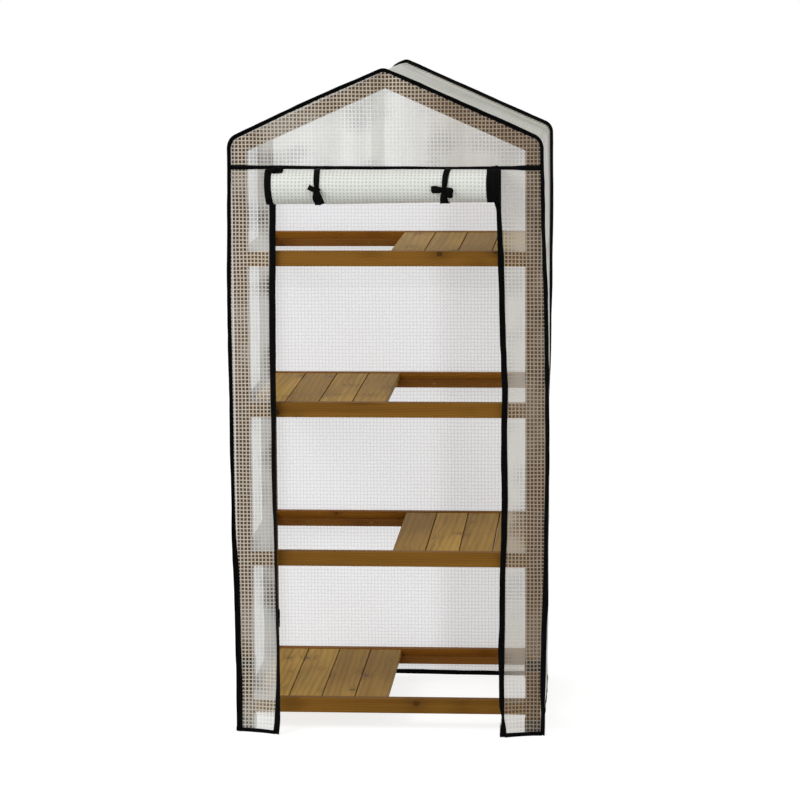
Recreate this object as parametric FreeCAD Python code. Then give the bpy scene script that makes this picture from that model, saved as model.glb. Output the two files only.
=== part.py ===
import FreeCAD, Part
import math
import os

# A small wooden greenhouse: a pitched ladder frame of planed battens with four
# half-width slatted decks, under a loose cover of grid-reinforced film.
# Millimetres, +X to the right, +Y to the back, +Z up, standing on Z = 0.

V = FreeCAD.Vector

# Timber frame
FRAME_WIDTH = 690.0
FRAME_DEPTH = 510.0
BATTEN_WIDTH = 34.0
BATTEN_THICK = 22.0
EDGE_ROUND = 1.5
ROOF_PITCH = 24.0
RIDGE_BAR_DEPTH = 38.0

# Shelves, counted from the floor
SHELF_NAMES = ("bottom", "lower", "upper", "top")
DECK_SIDE = {"bottom": -1, "lower": 1, "upper": -1, "top": 1}
FIRST_SHELF = 74.0
SHELF_STEP = 343.0
TOP_ROOM = 400.0
LEDGER_DEPTH = 15.0
LEDGER_HEIGHT = 18.0

# Slatted decks
SLAT_COUNT = 4
SLAT_WIDTH = 74.0
SLAT_GAP = 2.5
SLAT_THICK = 14.0
SLAT_ROUND = 1.0
SLAT_END_CLEARANCE = 1.5
CROSS_BATTEN_WIDTH = 20.0
CROSS_BATTEN_THICK = 13.0
CROSS_BATTEN_INSET = 4.0
GUIDE_CLEARANCE = 1.0
RUN_CLEARANCE = 0.3

# Feet and post straps
FOOT_WALL = 1.5
FOOT_BASE = 3.0
FOOT_HEIGHT = 28.0
STRAP_CENTRE = 155.0
STRAP_WIDTH = 24.0
STRAP_THICK = 1.2
STRAP_TAIL = 26.0

# Screws
LONG_SCREW_BITE = 26.0
LONG_SHANK_R = 2.0
LONG_HEAD_R = 4.0
LEDGER_SCREW_BITE = 9.0
DECK_SCREW_COVER = 3.0
SHORT_SHANK_R = 1.5
SHORT_HEAD_R = 3.2
SCREW_SINK = 0.2
SCREW_FIT = 0.05
SCREW_ENTRY = 5.0
SCREW_SPREAD = 7.0
LEDGER_SCREWS = 4
RECESS_ARM = 0.6
RECESS_SLOT = 0.14
RECESS_DEPTH = 0.45

# Film cover
FILM = 0.6
COVER_GAP = 5.0
ROOF_GAP = 0.3
SIDE_SLACK = 7.0
SIDE_BULGE = 10.0
COVER_HEM = 3.0
BACK_HEM = 9.0
EAVE_ROUND = 30.0
EAVE_SPLIT = 24.0
SEAM_DROP = 58.0

# Bindings
BINDING_THICK = 1.2
BINDING_WIDTH = 8.0
SEWN_GAP = 0.1
HEM_HEIGHT = 10.0

# Door opening, zips and the front strips beside it
OPENING_HALF = 252.0
ZIP_TAPE_OVER = 8.0
ZIP_TAPE_FREE = 4.0
FLARE = 44.0
FLARE_INSET = 5.0
FLARE_HEIGHT = 250.0
FLARE_STEPS = 4

# Door rolled up under the seam
ROLL_RADIUS = 39.0
ROLL_PITCH = 2.2
ROLL_HALF_TURNS = 12
ROLL_PAST_LEFT = 14.0
ROLL_PAST_RIGHT = 6.0
ROLL_GAP = 8.0
ROLL_TAPE_LEFT = 16.0
ROLL_TAPE_RIGHT = 28.0

# Ribbon ties round the roll
LEFT_TIE_X = -145.0
RIGHT_TIE_X = 139.0
TIE_LANDING = 60.0
RIBBON_WIDTH = 15.0
RIBBON_THICK = 1.0
RIBBON_LIFT = 0.2
KNOT_SIZE = 13.0
KNOT_DEPTH = 7.0
KNOT_DROP = 5.0
LOOP_REACH = 20.0
LOOP_WIDTH = 11.0
LOOP_DEPTH = 9.0
LOOP_STAND_OFF = 0.4
TAIL_LENGTH = 26.0
SHORT_TAIL = 18.0
BOW_TAIL_LEAN = 4.0
LONG_TAIL_LEAN = -24.0
SHORT_TAIL_LEAN = 118.0

# Zip sliders and their pulls
SLIDER_WIDTH = 10.0
SLIDER_LENGTH = 16.0
SLIDER_PLATE = 1.5
SLIDER_CORNER = 1.5
SLIDER_BRIDGE = 6.0
SLIDER_DROP = 12.0
SLIDER_CLEARANCE = 0.3
EAR_THICK = 1.0
EAR_GAP = 0.2
EAR_REACH = 1.4
PULL_LENGTH = 20.0
PULL_WIDTH = 6.0
PULL_THICK = 1.2
PULL_FRAME = 1.5
PULL_WINDOW = 7.0
PIVOT_DROP = 4.0
PIVOT_R = 0.8
PIVOT_FIT = 0.05

# Sizes that follow from the ones above
HALF_W = FRAME_WIDTH / 2
HALF_D = FRAME_DEPTH / 2
INNER_X = HALF_W - BATTEN_WIDTH
INNER_Y = HALF_D - BATTEN_THICK
SLOPE = math.tan(math.radians(ROOF_PITCH))
COS_PITCH = math.cos(math.radians(ROOF_PITCH))
RAFTER_DROP = BATTEN_WIDTH / COS_PITCH
SHELF_TOP = {name: FIRST_SHELF + i * SHELF_STEP for i, name in enumerate(SHELF_NAMES)}
RIDGE_HEIGHT = SHELF_TOP["top"] + TOP_ROOM
LEDGER_TOP = BATTEN_WIDTH - LEDGER_HEIGHT
DECK_LENGTH = SLAT_COUNT * SLAT_WIDTH + (SLAT_COUNT - 1) * SLAT_GAP
LONG_SCREW = BATTEN_WIDTH + LONG_SCREW_BITE
LEDGER_SCREW = LEDGER_DEPTH + LEDGER_SCREW_BITE
DECK_SCREW = CROSS_BATTEN_THICK + SLAT_THICK - DECK_SCREW_COVER
Y_FRONT_IN = -HALF_D - COVER_GAP
Y_FRONT = Y_FRONT_IN - FILM
Y_BACK_IN = HALF_D + COVER_GAP
Y_BACK = Y_BACK_IN + FILM
ROOF_OUTSIDE = RIDGE_HEIGHT + (ROOF_GAP + FILM) / COS_PITCH
COVER_HALF = HALF_W + SIDE_SLACK
COVER_WIDEST = COVER_HALF + SIDE_BULGE
EAVE_HEIGHT = ROOF_OUTSIDE - COVER_HALF * SLOPE
RAFTER_ROUND = EAVE_ROUND - SIDE_SLACK
SEAM_HEIGHT = EAVE_HEIGHT - SEAM_DROP
STRIP_FLAT_FROM = HALF_W - FLARE_INSET
ZIP_TAPE_OUTER = OPENING_HALF + ZIP_TAPE_OVER
ZIP_TAPE_INNER = OPENING_HALF - ZIP_TAPE_FREE
ROLL_LEFT = -OPENING_HALF - ROLL_PAST_LEFT
ROLL_RIGHT = OPENING_HALF + ROLL_PAST_RIGHT
ROLL_Y = Y_FRONT - ROLL_GAP - ROLL_RADIUS
ROLL_Z = SEAM_HEIGHT - ROLL_RADIUS
ZIP_LINE = Y_FRONT - BINDING_THICK
KNOT_HEIGHT = ROLL_Z - KNOT_DROP
RIBBON_FACE = ROLL_Y - ROLL_RADIUS - RIBBON_LIFT - RIBBON_THICK
SLIDER_TOP = SEAM_HEIGHT - SLIDER_DROP
FRONT_REACH = LOOP_STAND_OFF + LOOP_DEPTH - RIBBON_FACE
BACK_REACH = Y_BACK + BINDING_THICK
ORIGIN_SHIFT = (FRONT_REACH - BACK_REACH) / 2

nodes = {}


def block(x0, x1, y0, y1, z0, z1):
    return Part.makeBox(x1 - x0, y1 - y0, z1 - z0, V(x0, y0, z0))


def eased(shape, axis, radius=EDGE_ROUND):
    """Round the straight edges that run along the given direction."""
    edges = []
    for edge in shape.Edges:
        ends = edge.Vertexes
        if len(ends) == 2:
            run = ends[1].Point.sub(ends[0].Point)
            if run.cross(axis).Length < 0.01 * run.Length:
                edges.append(edge)
    return shape.makeFillet(radius, edges)


def profile_y(points, y0, y1):
    """A polygon drawn in X and Z, drawn out along Y."""
    wire = Part.makePolygon([V(x, y0, z) for x, z in points + points[:1]])
    return Part.Face(wire).extrude(V(0, y1 - y0, 0))


def mirrored(shape):
    return shape.mirror(V(0, 0, 0), V(1, 0, 0))


def put(name, shape):
    """Keep a finished piece, or a group of like pieces, under its name."""
    shapes = shape if isinstance(shape, list) else [shape]
    solids = [solid for part in shapes for solid in part.Solids]
    nodes[name] = solids[0] if len(solids) == 1 else Part.makeCompound(solids)


# Screws

def turned(points, turn_axis=V(0, 0, 1)):
    wire = Part.makePolygon([V(r, 0, z) for r, z in points + points[:1]])
    return Part.Face(wire).revolve(V(0, 0, 0), turn_axis, 360)


def screw_body(length, shank, head):
    """A countersunk screw with a cross recess, its head at Z = 0, pointing up."""
    cone = head - shank
    tip = 2 * shank
    body = turned([(0, 0), (head, 0), (shank, cone), (shank, length - tip), (0, length)])
    arm = RECESS_ARM * head
    slot = RECESS_SLOT * head
    for x, y in ((arm, slot), (slot, arm)):
        body = body.cut(block(-x, x, -y, y, -1, RECESS_DEPTH * cone))
    return body


def screw_hole(length, shank, head):
    cone = head - shank
    wide = head + SCREW_FIT
    thin = shank + SCREW_FIT
    return turned([(0, -SCREW_ENTRY), (wide, -SCREW_ENTRY), (wide, 0), (thin, cone),
                   (thin, length + SCREW_FIT), (0, length + SCREW_FIT)])


def placed(shape, point, direction):
    copy = shape.copy()
    turn = FreeCAD.Rotation(V(0, 0, 1), direction)
    copy.Placement = FreeCAD.Placement(point + direction * SCREW_SINK, turn)
    return copy


LONG_BODY = screw_body(LONG_SCREW, LONG_SHANK_R, LONG_HEAD_R)
LONG_HOLE = screw_hole(LONG_SCREW, LONG_SHANK_R, LONG_HEAD_R)
LEDGER_BODY = screw_body(LEDGER_SCREW, SHORT_SHANK_R, SHORT_HEAD_R)
LEDGER_HOLE = screw_hole(LEDGER_SCREW, SHORT_SHANK_R, SHORT_HEAD_R)
DECK_BODY = screw_body(DECK_SCREW, SHORT_SHANK_R, SHORT_HEAD_R)
DECK_HOLE = screw_hole(DECK_SCREW, SHORT_SHANK_R, SHORT_HEAD_R)


def rail_screw_height(shelf):
    return SHELF_TOP[shelf] - BATTEN_WIDTH / 2 + SCREW_SPREAD


def side_screw_height(shelf):
    return SHELF_TOP[shelf] - BATTEN_WIDTH / 2 - SCREW_SPREAD


def side_rail_x():
    """Middle of a side rail, whose inner face lines up with the posts' inner faces."""
    return INNER_X + BATTEN_THICK / 2


def long_screw_places():
    """Where the long screws join rails, rafters and ridge, as points and directions."""
    places = []
    mid_y = HALF_D - BATTEN_THICK / 2
    for sx in (-1, 1):
        for sy in (-1, 1):
            for shelf in SHELF_NAMES:
                places.append((V(sx * HALF_W, sy * mid_y, rail_screw_height(shelf)), V(-sx, 0, 0)))
                places.append((V(sx * side_rail_x(), sy * HALF_D, side_screw_height(shelf)), V(0, -sy, 0)))
            post_mid = HALF_W - BATTEN_WIDTH / 2
            head_z = RIDGE_HEIGHT - post_mid * SLOPE - LONG_HEAD_R * SLOPE
            places.append((V(sx * post_mid, sy * mid_y, head_z), V(0, 0, -1)))
            near_ridge = V(sx * BATTEN_THICK / 4, sy * HALF_D, RIDGE_HEIGHT - RIDGE_BAR_DEPTH / 2)
            places.append((near_ridge, V(0, -sy, 0)))
    return places


def ledger_screw_places():
    places = []
    step = 2 * INNER_X / LEDGER_SCREWS
    for sy in (-1, 1):
        for shelf in SHELF_NAMES:
            height = SHELF_TOP[shelf] - LEDGER_TOP - LEDGER_HEIGHT / 2
            for i in range(LEDGER_SCREWS):
                x = -INNER_X + (i + 0.5) * step
                places.append((V(x, sy * (INNER_Y - LEDGER_DEPTH), height), V(0, sy, 0)))
    return places


def drilled(shape, hole, places):
    """Cut the holes that reach into this piece."""
    reach = shape.BoundBox
    reach.enlarge(1.0)
    for point, direction in places:
        tool = placed(hole, point, direction)
        if reach.intersect(tool.BoundBox):
            shape = shape.cut(tool)
    return shape


def rounded_end(rafter, sx, top):
    """Round off a rafter's upper corner at the eave, under the film's own round."""
    radius = RAFTER_ROUND
    centre_x = HALF_W - radius
    centre_z = top + radius * SLOPE - radius / COS_PITCH
    reach = HALF_D + 1
    tip_x = HALF_W + 1
    rise = math.radians(90 - ROOF_PITCH)
    start = V(centre_x + radius * math.cos(rise), -reach, centre_z + radius * math.sin(rise))
    middle = V(centre_x + radius * math.cos(rise / 2), -reach, centre_z + radius * math.sin(rise / 2))
    finish = V(HALF_W, -reach, centre_z)
    arc = Part.Arc(start, middle, finish).toShape()
    edges = [arc] + [Part.makeLine(a, b) for a, b in (
        (finish, V(tip_x, -reach, centre_z)),
        (V(tip_x, -reach, centre_z), V(tip_x, -reach, start.z)),
        (V(tip_x, -reach, start.z), start))]
    nose = Part.Face(Part.Wire(edges)).extrude(V(0, 2 * reach, 0))
    return rafter.cut(nose if sx > 0 else mirrored(nose))


def make_frame():
    long_places = long_screw_places()
    ledger_places = ledger_screw_places()

    def timber(shape, axis):
        shape = eased(shape, axis)
        return drilled(drilled(shape, LONG_HOLE, long_places), LEDGER_HOLE, ledger_places)

    def roof_line(x):
        return RIDGE_HEIGHT - x * SLOPE

    post = [(INNER_X, FOOT_BASE), (HALF_W, FOOT_BASE),
            (HALF_W, roof_line(HALF_W) - RAFTER_DROP), (INNER_X, roof_line(INNER_X) - RAFTER_DROP)]
    rafter = [(0, RIDGE_HEIGHT - RAFTER_DROP), (HALF_W, roof_line(HALF_W) - RAFTER_DROP),
              (HALF_W, roof_line(HALF_W)), (0, RIDGE_HEIGHT)]
    for end, y0, y1 in (("front", -HALF_D, -INNER_Y), ("back", INNER_Y, HALF_D)):
        for side, sx in (("left", -1), ("right", 1)):
            post_points = [(sx * x, z) for x, z in post]
            rafter_points = [(sx * x, z) for x, z in rafter]
            put(f"{end}_{side}_post", timber(profile_y(post_points, y0, y1), V(0, 0, 1)))
            fall = V(sx, 0, -SLOPE)
            rafter_body = timber(profile_y(rafter_points, y0, y1), fall)
            put(f"{end}_{side}_rafter", rounded_end(rafter_body, sx, roof_line(HALF_W)))
        for shelf in SHELF_NAMES:
            top = SHELF_TOP[shelf]
            rail = block(-INNER_X, INNER_X, y0, y1, top - BATTEN_WIDTH, top)
            put(f"{end}_rail_{shelf}", timber(rail, V(1, 0, 0)))

    half = BATTEN_THICK / 2
    bar = [(-half, RIDGE_HEIGHT - RIDGE_BAR_DEPTH), (half, RIDGE_HEIGHT - RIDGE_BAR_DEPTH),
           (half, roof_line(half)), (0, RIDGE_HEIGHT), (-half, roof_line(half))]
    put("ridge_bar", drilled(profile_y(bar, -INNER_Y, INNER_Y), LONG_HOLE, long_places))

    for shelf in SHELF_NAMES:
        top = SHELF_TOP[shelf]
        rail = block(INNER_X, INNER_X + BATTEN_THICK, -INNER_Y, INNER_Y, top - BATTEN_WIDTH, top)
        put(f"side_rails_{shelf}", [timber(rail, V(0, 1, 0)), timber(mirrored(rail), V(0, 1, 0))])
        low = top - LEDGER_TOP - LEDGER_HEIGHT
        ledgers = []
        for y0, y1 in ((-INNER_Y, LEDGER_DEPTH - INNER_Y), (INNER_Y - LEDGER_DEPTH, INNER_Y)):
            strip = block(-INNER_X, INNER_X, y0, y1, low, low + LEDGER_HEIGHT)
            ledgers.append(drilled(strip, LEDGER_HOLE, ledger_places))
        put(f"ledgers_{shelf}", ledgers)

    put("frame_screws", [placed(LONG_BODY, p, d) for p, d in long_places])
    put("ledger_screws", [placed(LEDGER_BODY, p, d) for p, d in ledger_places])


def make_feet_and_straps():
    """A plastic cap under each post and a strap round each post, with its loose end."""
    caps = []
    straps = []
    mid_x = HALF_W - BATTEN_WIDTH / 2
    mid_y = HALF_D - BATTEN_THICK / 2
    half_x = BATTEN_WIDTH / 2
    half_y = BATTEN_THICK / 2
    low = STRAP_CENTRE - STRAP_WIDTH / 2
    for sx in (-1, 1):
        for sy in (-1, 1):
            x = sx * mid_x
            y = sy * mid_y
            cap = block(x - half_x - FOOT_WALL, x + half_x + FOOT_WALL,
                        y - half_y - FOOT_WALL, y + half_y + FOOT_WALL, 0, FOOT_HEIGHT)
            cap = eased(cap, V(0, 0, 1), FOOT_WALL)
            cap = cap.cut(block(x - half_x, x + half_x, y - half_y, y + half_y,
                                FOOT_BASE, FOOT_HEIGHT + 1))
            caps.append(cap)
            band = block(x - half_x - STRAP_THICK, x + half_x + STRAP_THICK,
                         y - half_y - STRAP_THICK, y + half_y + STRAP_THICK,
                         low, low + STRAP_WIDTH)
            band = eased(band, V(0, 0, 1), STRAP_THICK)
            band = band.cut(block(x - half_x, x + half_x, y - half_y, y + half_y,
                                  low - 1, low + STRAP_WIDTH + 1))
            inner = x - sx * (half_x + STRAP_THICK)
            tail = block(min(inner, inner - sx * STRAP_THICK), max(inner, inner - sx * STRAP_THICK),
                         y - half_y + EDGE_ROUND, y + half_y - EDGE_ROUND,
                         low - STRAP_TAIL, low + STRAP_WIDTH)
            straps.append(band.fuse(tail).removeSplitter())
    put("foot_caps", caps)
    put("post_straps", straps)


def make_deck(shelf):
    """Four slats across two cross battens, resting on the ledgers of one shelf."""
    side = DECK_SIDE[shelf]
    start = side * (INNER_X - RUN_CLEARANCE)
    low = SHELF_TOP[shelf] - LEDGER_TOP + RUN_CLEARANCE
    half_y = INNER_Y - SLAT_END_CLEARANCE
    guide = INNER_Y - LEDGER_DEPTH - GUIDE_CLEARANCE
    batten_y = guide - CROSS_BATTEN_WIDTH / 2
    slats = []
    places = []
    for i in range(SLAT_COUNT):
        near = start - side * i * (SLAT_WIDTH + SLAT_GAP)
        far = near - side * SLAT_WIDTH
        slat = block(min(near, far), max(near, far), -half_y, half_y, low, low + SLAT_THICK)
        slats.append(eased(slat, V(0, 1, 0), SLAT_ROUND))
        for sy in (-1, 1):
            places.append((V((near + far) / 2, sy * batten_y, low - CROSS_BATTEN_THICK), V(0, 0, 1)))
    battens = []
    ends = (start - side * CROSS_BATTEN_INSET, start - side * (DECK_LENGTH - CROSS_BATTEN_INSET))
    for sy in (-1, 1):
        y = sy * batten_y
        batten = block(min(ends), max(ends), y - CROSS_BATTEN_WIDTH / 2, y + CROSS_BATTEN_WIDTH / 2,
                       low - CROSS_BATTEN_THICK, low)
        battens.append(drilled(batten, DECK_HOLE, places))
    put(f"slats_{shelf}", [drilled(slat, DECK_HOLE, places) for slat in slats])
    put(f"cross_battens_{shelf}", battens)
    put(f"deck_screws_{shelf}", [placed(DECK_BODY, p, d) for p, d in places])


# The film cover

def cover_prism(grow, y0, y1, low=COVER_HEM):
    """The cover's outline, grown by a little all round, drawn out along Y."""
    half = COVER_HALF + grow
    bulge = COVER_WIDEST + grow
    ridge = ROOF_OUTSIDE + grow / COS_PITCH
    eave_z = ridge - half * SLOPE
    middle_z = (COVER_HEM + eave_z) / 2
    right = [V(half, y0, COVER_HEM), V(bulge, y0, middle_z), V(half, y0, eave_z)]
    left = [V(-p.x, p.y, p.z) for p in right]
    top = V(0, y0, ridge)
    edges = [Part.Arc(*right).toShape(), Part.makeLine(right[2], top), Part.makeLine(top, left[2]),
             Part.Arc(left[2], left[1], left[0]).toShape()]
    bottom = [left[0]]
    if low < COVER_HEM:
        bottom += [V(-half, y0, low), V(half, y0, low)]
    bottom.append(right[0])
    edges += [Part.makeLine(a, b) for a, b in zip(bottom, bottom[1:])]
    body = Part.Face(Part.Wire(edges)).extrude(V(0, y1 - y0, 0))
    corners = []
    for edge in body.Edges:
        middle = edge.BoundBox.Center
        if edge.BoundBox.YLength > 0.99 * (y1 - y0) and abs(abs(middle.x) - half) < 0.01:
            if abs(middle.z - eave_z) < 0.01:
                corners.append(edge)
    return body.makeFillet(EAVE_ROUND + grow, corners)


def half_space(x0, x1, z0=-50.0, z1=ROOF_OUTSIDE + 50.0):
    return block(x0, x1, -FRAME_DEPTH, FRAME_DEPTH, z0, z1)


def make_wrap():
    """Sides and roof: one long sheet on the real cover, split at eaves and ridge."""
    shell = cover_prism(0, Y_FRONT_IN, Y_BACK_IN)
    shell = shell.cut(cover_prism(-FILM, Y_FRONT_IN - 1, Y_BACK_IN + 1, COVER_HEM - 10))
    split = COVER_HALF - EAVE_SPLIT
    far = COVER_WIDEST + 50
    put("left_side_panel", shell.common(half_space(-far, -split)))
    put("left_roof_panel", shell.common(half_space(-split, 0)))
    put("right_roof_panel", shell.common(half_space(0, split)))
    put("right_side_panel", shell.common(half_space(split, far)))


def flare_at(z):
    """How far forward the door-side edge of a front strip stands at a height."""
    share = max(0.0, 1.0 - (z - COVER_HEM) / FLARE_HEIGHT)
    return FLARE * share * share


def strip_section(z, x_from, x_to, near, far):
    """A closed band of the flared strip between two widths and two depths.

    The strip leaves the front plane along X and curves forward on one arc,
    or stays flat above the flare. near and far are depths in front of the
    film's inner face.
    """
    forward = flare_at(z)
    if forward < 0.01:
        corners = [V(x_from, Y_FRONT_IN - near, z), V(x_to, Y_FRONT_IN - near, z),
                   V(x_to, Y_FRONT_IN - far, z), V(x_from, Y_FRONT_IN - far, z)]
        return Part.makePolygon(corners + corners[:1])
    reach = STRIP_FLAT_FROM - OPENING_HALF
    radius = (reach * reach + forward * forward) / (2 * forward)
    turn = 2 * math.atan(forward / reach)

    def point(x, depth):
        angle = turn * (STRIP_FLAT_FROM - x) / reach
        r = radius - depth
        return V(STRIP_FLAT_FROM - r * math.sin(angle), Y_FRONT_IN - radius + r * math.cos(angle), z)

    middle = (x_from + x_to) / 2
    a, b, c = (point(x, near) for x in (x_from, middle, x_to))
    d, e, f = (point(x, far) for x in (x_to, middle, x_from))
    return Part.Wire([Part.Arc(a, b, c).toShape(), Part.makeLine(c, d),
                      Part.Arc(d, e, f).toShape(), Part.makeLine(f, a)])


def flared_band(x_from, x_to, near, far, z_top):
    """The band lofted up the flare and then drawn straight up to its top."""
    step = (FLARE_HEIGHT - HEM_HEIGHT) / FLARE_STEPS
    heights = [COVER_HEM] + [COVER_HEM + HEM_HEIGHT + i * step for i in range(FLARE_STEPS + 1)]
    heights = [z for z in heights if z < z_top - 0.5] + [z_top]
    sections = [strip_section(z, x_from, x_to, near, far) for z in heights]
    body = Part.makeLoft(sections[:2], True, True)
    for low, high in zip(sections[1:], sections[2:]):
        body = body.fuse(Part.makeLoft([low, high], True, True))
    return body


def make_front():
    """Gable panel, the two strips beside the door, the zip tapes and the seam."""
    plane = cover_prism(0, Y_FRONT, Y_FRONT_IN)
    far = COVER_WIDEST + 50
    put("gable_panel", plane.common(half_space(-far, far, SEAM_HEIGHT)))
    edge = plane.common(half_space(STRIP_FLAT_FROM, far, -50, SEAM_HEIGHT))
    film = flared_band(STRIP_FLAT_FROM, OPENING_HALF, 0, FILM, SEAM_HEIGHT)
    strip = edge.fuse(film)
    put("front_right_panel", strip)
    put("front_left_panel", mirrored(strip))
    seam_low = SEAM_HEIGHT - BINDING_WIDTH / 2
    near = FILM + SEWN_GAP
    tape = flared_band(ZIP_TAPE_OUTER, ZIP_TAPE_INNER, near, near + BINDING_THICK, seam_low)
    put("zip_tapes", [mirrored(tape), tape])


def make_back():
    panel = cover_prism(0, Y_BACK_IN, Y_BACK)
    far = COVER_WIDEST + 50
    put("back_panel", panel.common(half_space(-far, far, BACK_HEM)))


def edge_binding(y_face, outward):
    """An angle of tape folded over the cover's edge, from hem over the ridge to hem."""
    y_out = y_face + outward * BINDING_THICK
    y_in = y_face - outward * BINDING_WIDTH
    face_leg = cover_prism(BINDING_THICK, min(y_face, y_out), max(y_face, y_out))
    face_leg = face_leg.cut(cover_prism(-BINDING_WIDTH, min(y_face, y_out) - 1,
                                        max(y_face, y_out) + 1, COVER_HEM - 10))
    side_leg = cover_prism(BINDING_THICK, min(y_face, y_in), max(y_face, y_in))
    side_leg = side_leg.cut(cover_prism(0, min(y_face, y_in) - 1, max(y_face, y_in) + 1,
                                        COVER_HEM - 10))
    return face_leg.fuse(side_leg)


def make_bindings():
    put("edge_bindings", [edge_binding(Y_FRONT, -1), edge_binding(Y_BACK, 1)])

    inside = cover_prism(-BINDING_WIDTH, Y_FRONT - BINDING_THICK, Y_FRONT)
    far = COVER_WIDEST + 50
    seam = inside.common(half_space(-far, far, SEAM_HEIGHT - BINDING_WIDTH / 2,
                                    SEAM_HEIGHT + BINDING_WIDTH / 2))
    hem_top = COVER_HEM + HEM_HEIGHT
    flat = inside.common(half_space(STRIP_FLAT_FROM, far, -50, hem_top))
    near = FILM + SEWN_GAP
    curved = flared_band(STRIP_FLAT_FROM, ZIP_TAPE_OUTER + SEWN_GAP, near, near + BINDING_THICK, hem_top)
    front = flat.fuse(curved)
    y0 = Y_FRONT + BINDING_WIDTH
    y1 = Y_BACK - BINDING_WIDTH
    side = cover_prism(BINDING_THICK, y0, y1).cut(cover_prism(0, y0 - 1, y1 + 1, COVER_HEM - 10))
    side = side.common(half_space(0, far, -50, hem_top))
    back = cover_prism(-BINDING_WIDTH, Y_BACK, Y_BACK + BINDING_THICK)
    back = back.common(half_space(-far, far, BACK_HEM, BACK_HEM + HEM_HEIGHT))
    put("seam_and_hem_bindings", [seam, front, mirrored(front), side, mirrored(side), back])


# The rolled door

def roll_profile(x):
    """The door's film from the seam over the top of the roll and round inwards."""
    outer = []
    inner = []
    top = ROLL_Z + ROLL_RADIUS
    outer.append(Part.makeLine(V(x, ZIP_LINE, top), V(x, ROLL_Y, top)))
    inner.append(Part.makeLine(V(x, ZIP_LINE, top - FILM), V(x, ROLL_Y, top - FILM)))
    for half_turn in range(ROLL_HALF_TURNS):
        radius = ROLL_RADIUS - half_turn * ROLL_PITCH / 2
        falling = half_turn % 2 == 0
        centre = ROLL_Z if falling else ROLL_Z - ROLL_PITCH / 2
        way = 1 if falling else -1
        for line, r in ((outer, radius), (inner, radius - FILM)):
            line.append(Part.Arc(V(x, ROLL_Y, centre + way * r), V(x, ROLL_Y - way * r, centre),
                                 V(x, ROLL_Y, centre - way * r)).toShape())
    start = Part.makeLine(inner[0].Vertexes[0].Point, outer[0].Vertexes[0].Point)
    finish = Part.makeLine(V(x, ROLL_Y, outer[-1].Vertexes[-1].Point.z),
                           V(x, ROLL_Y, inner[-1].Vertexes[-1].Point.z))
    return Part.Wire(Part.__sortEdges__([start] + outer + [finish] + inner))


def make_roll():
    """The film roll, and the zip tape that edges it, wound up with it at both ends."""
    def length(x0, x1):
        return Part.Face(roll_profile(x0)).extrude(V(x1 - x0, 0, 0))

    left = ROLL_LEFT + ROLL_TAPE_LEFT
    right = ROLL_RIGHT - ROLL_TAPE_RIGHT
    put("rolled_door", length(left, right))
    put("door_edge_tapes", [length(ROLL_LEFT, left), length(right, ROLL_RIGHT)])
    radii = [ROLL_RADIUS - i * ROLL_PITCH / 2 for i in range(ROLL_HALF_TURNS)]
    wound = sum(math.pi * r for r in radii) + ZIP_LINE - ROLL_Y
    print("door film wound up:", round(wound), "mm, least gap between turns:",
          round(ROLL_PITCH - FILM, 2), "mm")


def ribbon_loop(x, side):
    """One loop of a bow, a flat ring of ribbon standing off the knot."""
    long = LOOP_REACH / 2
    deep = LOOP_DEPTH / 2
    y = RIBBON_FACE - LOOP_STAND_OFF - deep
    centre = V(x + side * long, y, KNOT_HEIGHT - LOOP_WIDTH / 2)

    def ring(grow):
        ellipse = Part.Ellipse(centre, long + grow, deep + grow).toShape()
        return Part.Face(Part.Wire([ellipse])).extrude(V(0, 0, LOOP_WIDTH))

    return ring(0).cut(ring(-RIBBON_THICK))


def ribbon_tail(x, lean, length):
    """A loose ribbon end from the knot, leaning to one side of straight down."""
    half = LOOP_WIDTH / 2
    front = RIBBON_FACE - RIBBON_THICK
    plate = block(x - half, x + half, front - RIBBON_THICK, front, KNOT_HEIGHT - length, KNOT_HEIGHT)
    plate.rotate(V(x, 0, KNOT_HEIGHT), V(0, 1, 0), lean)
    return plate


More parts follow.
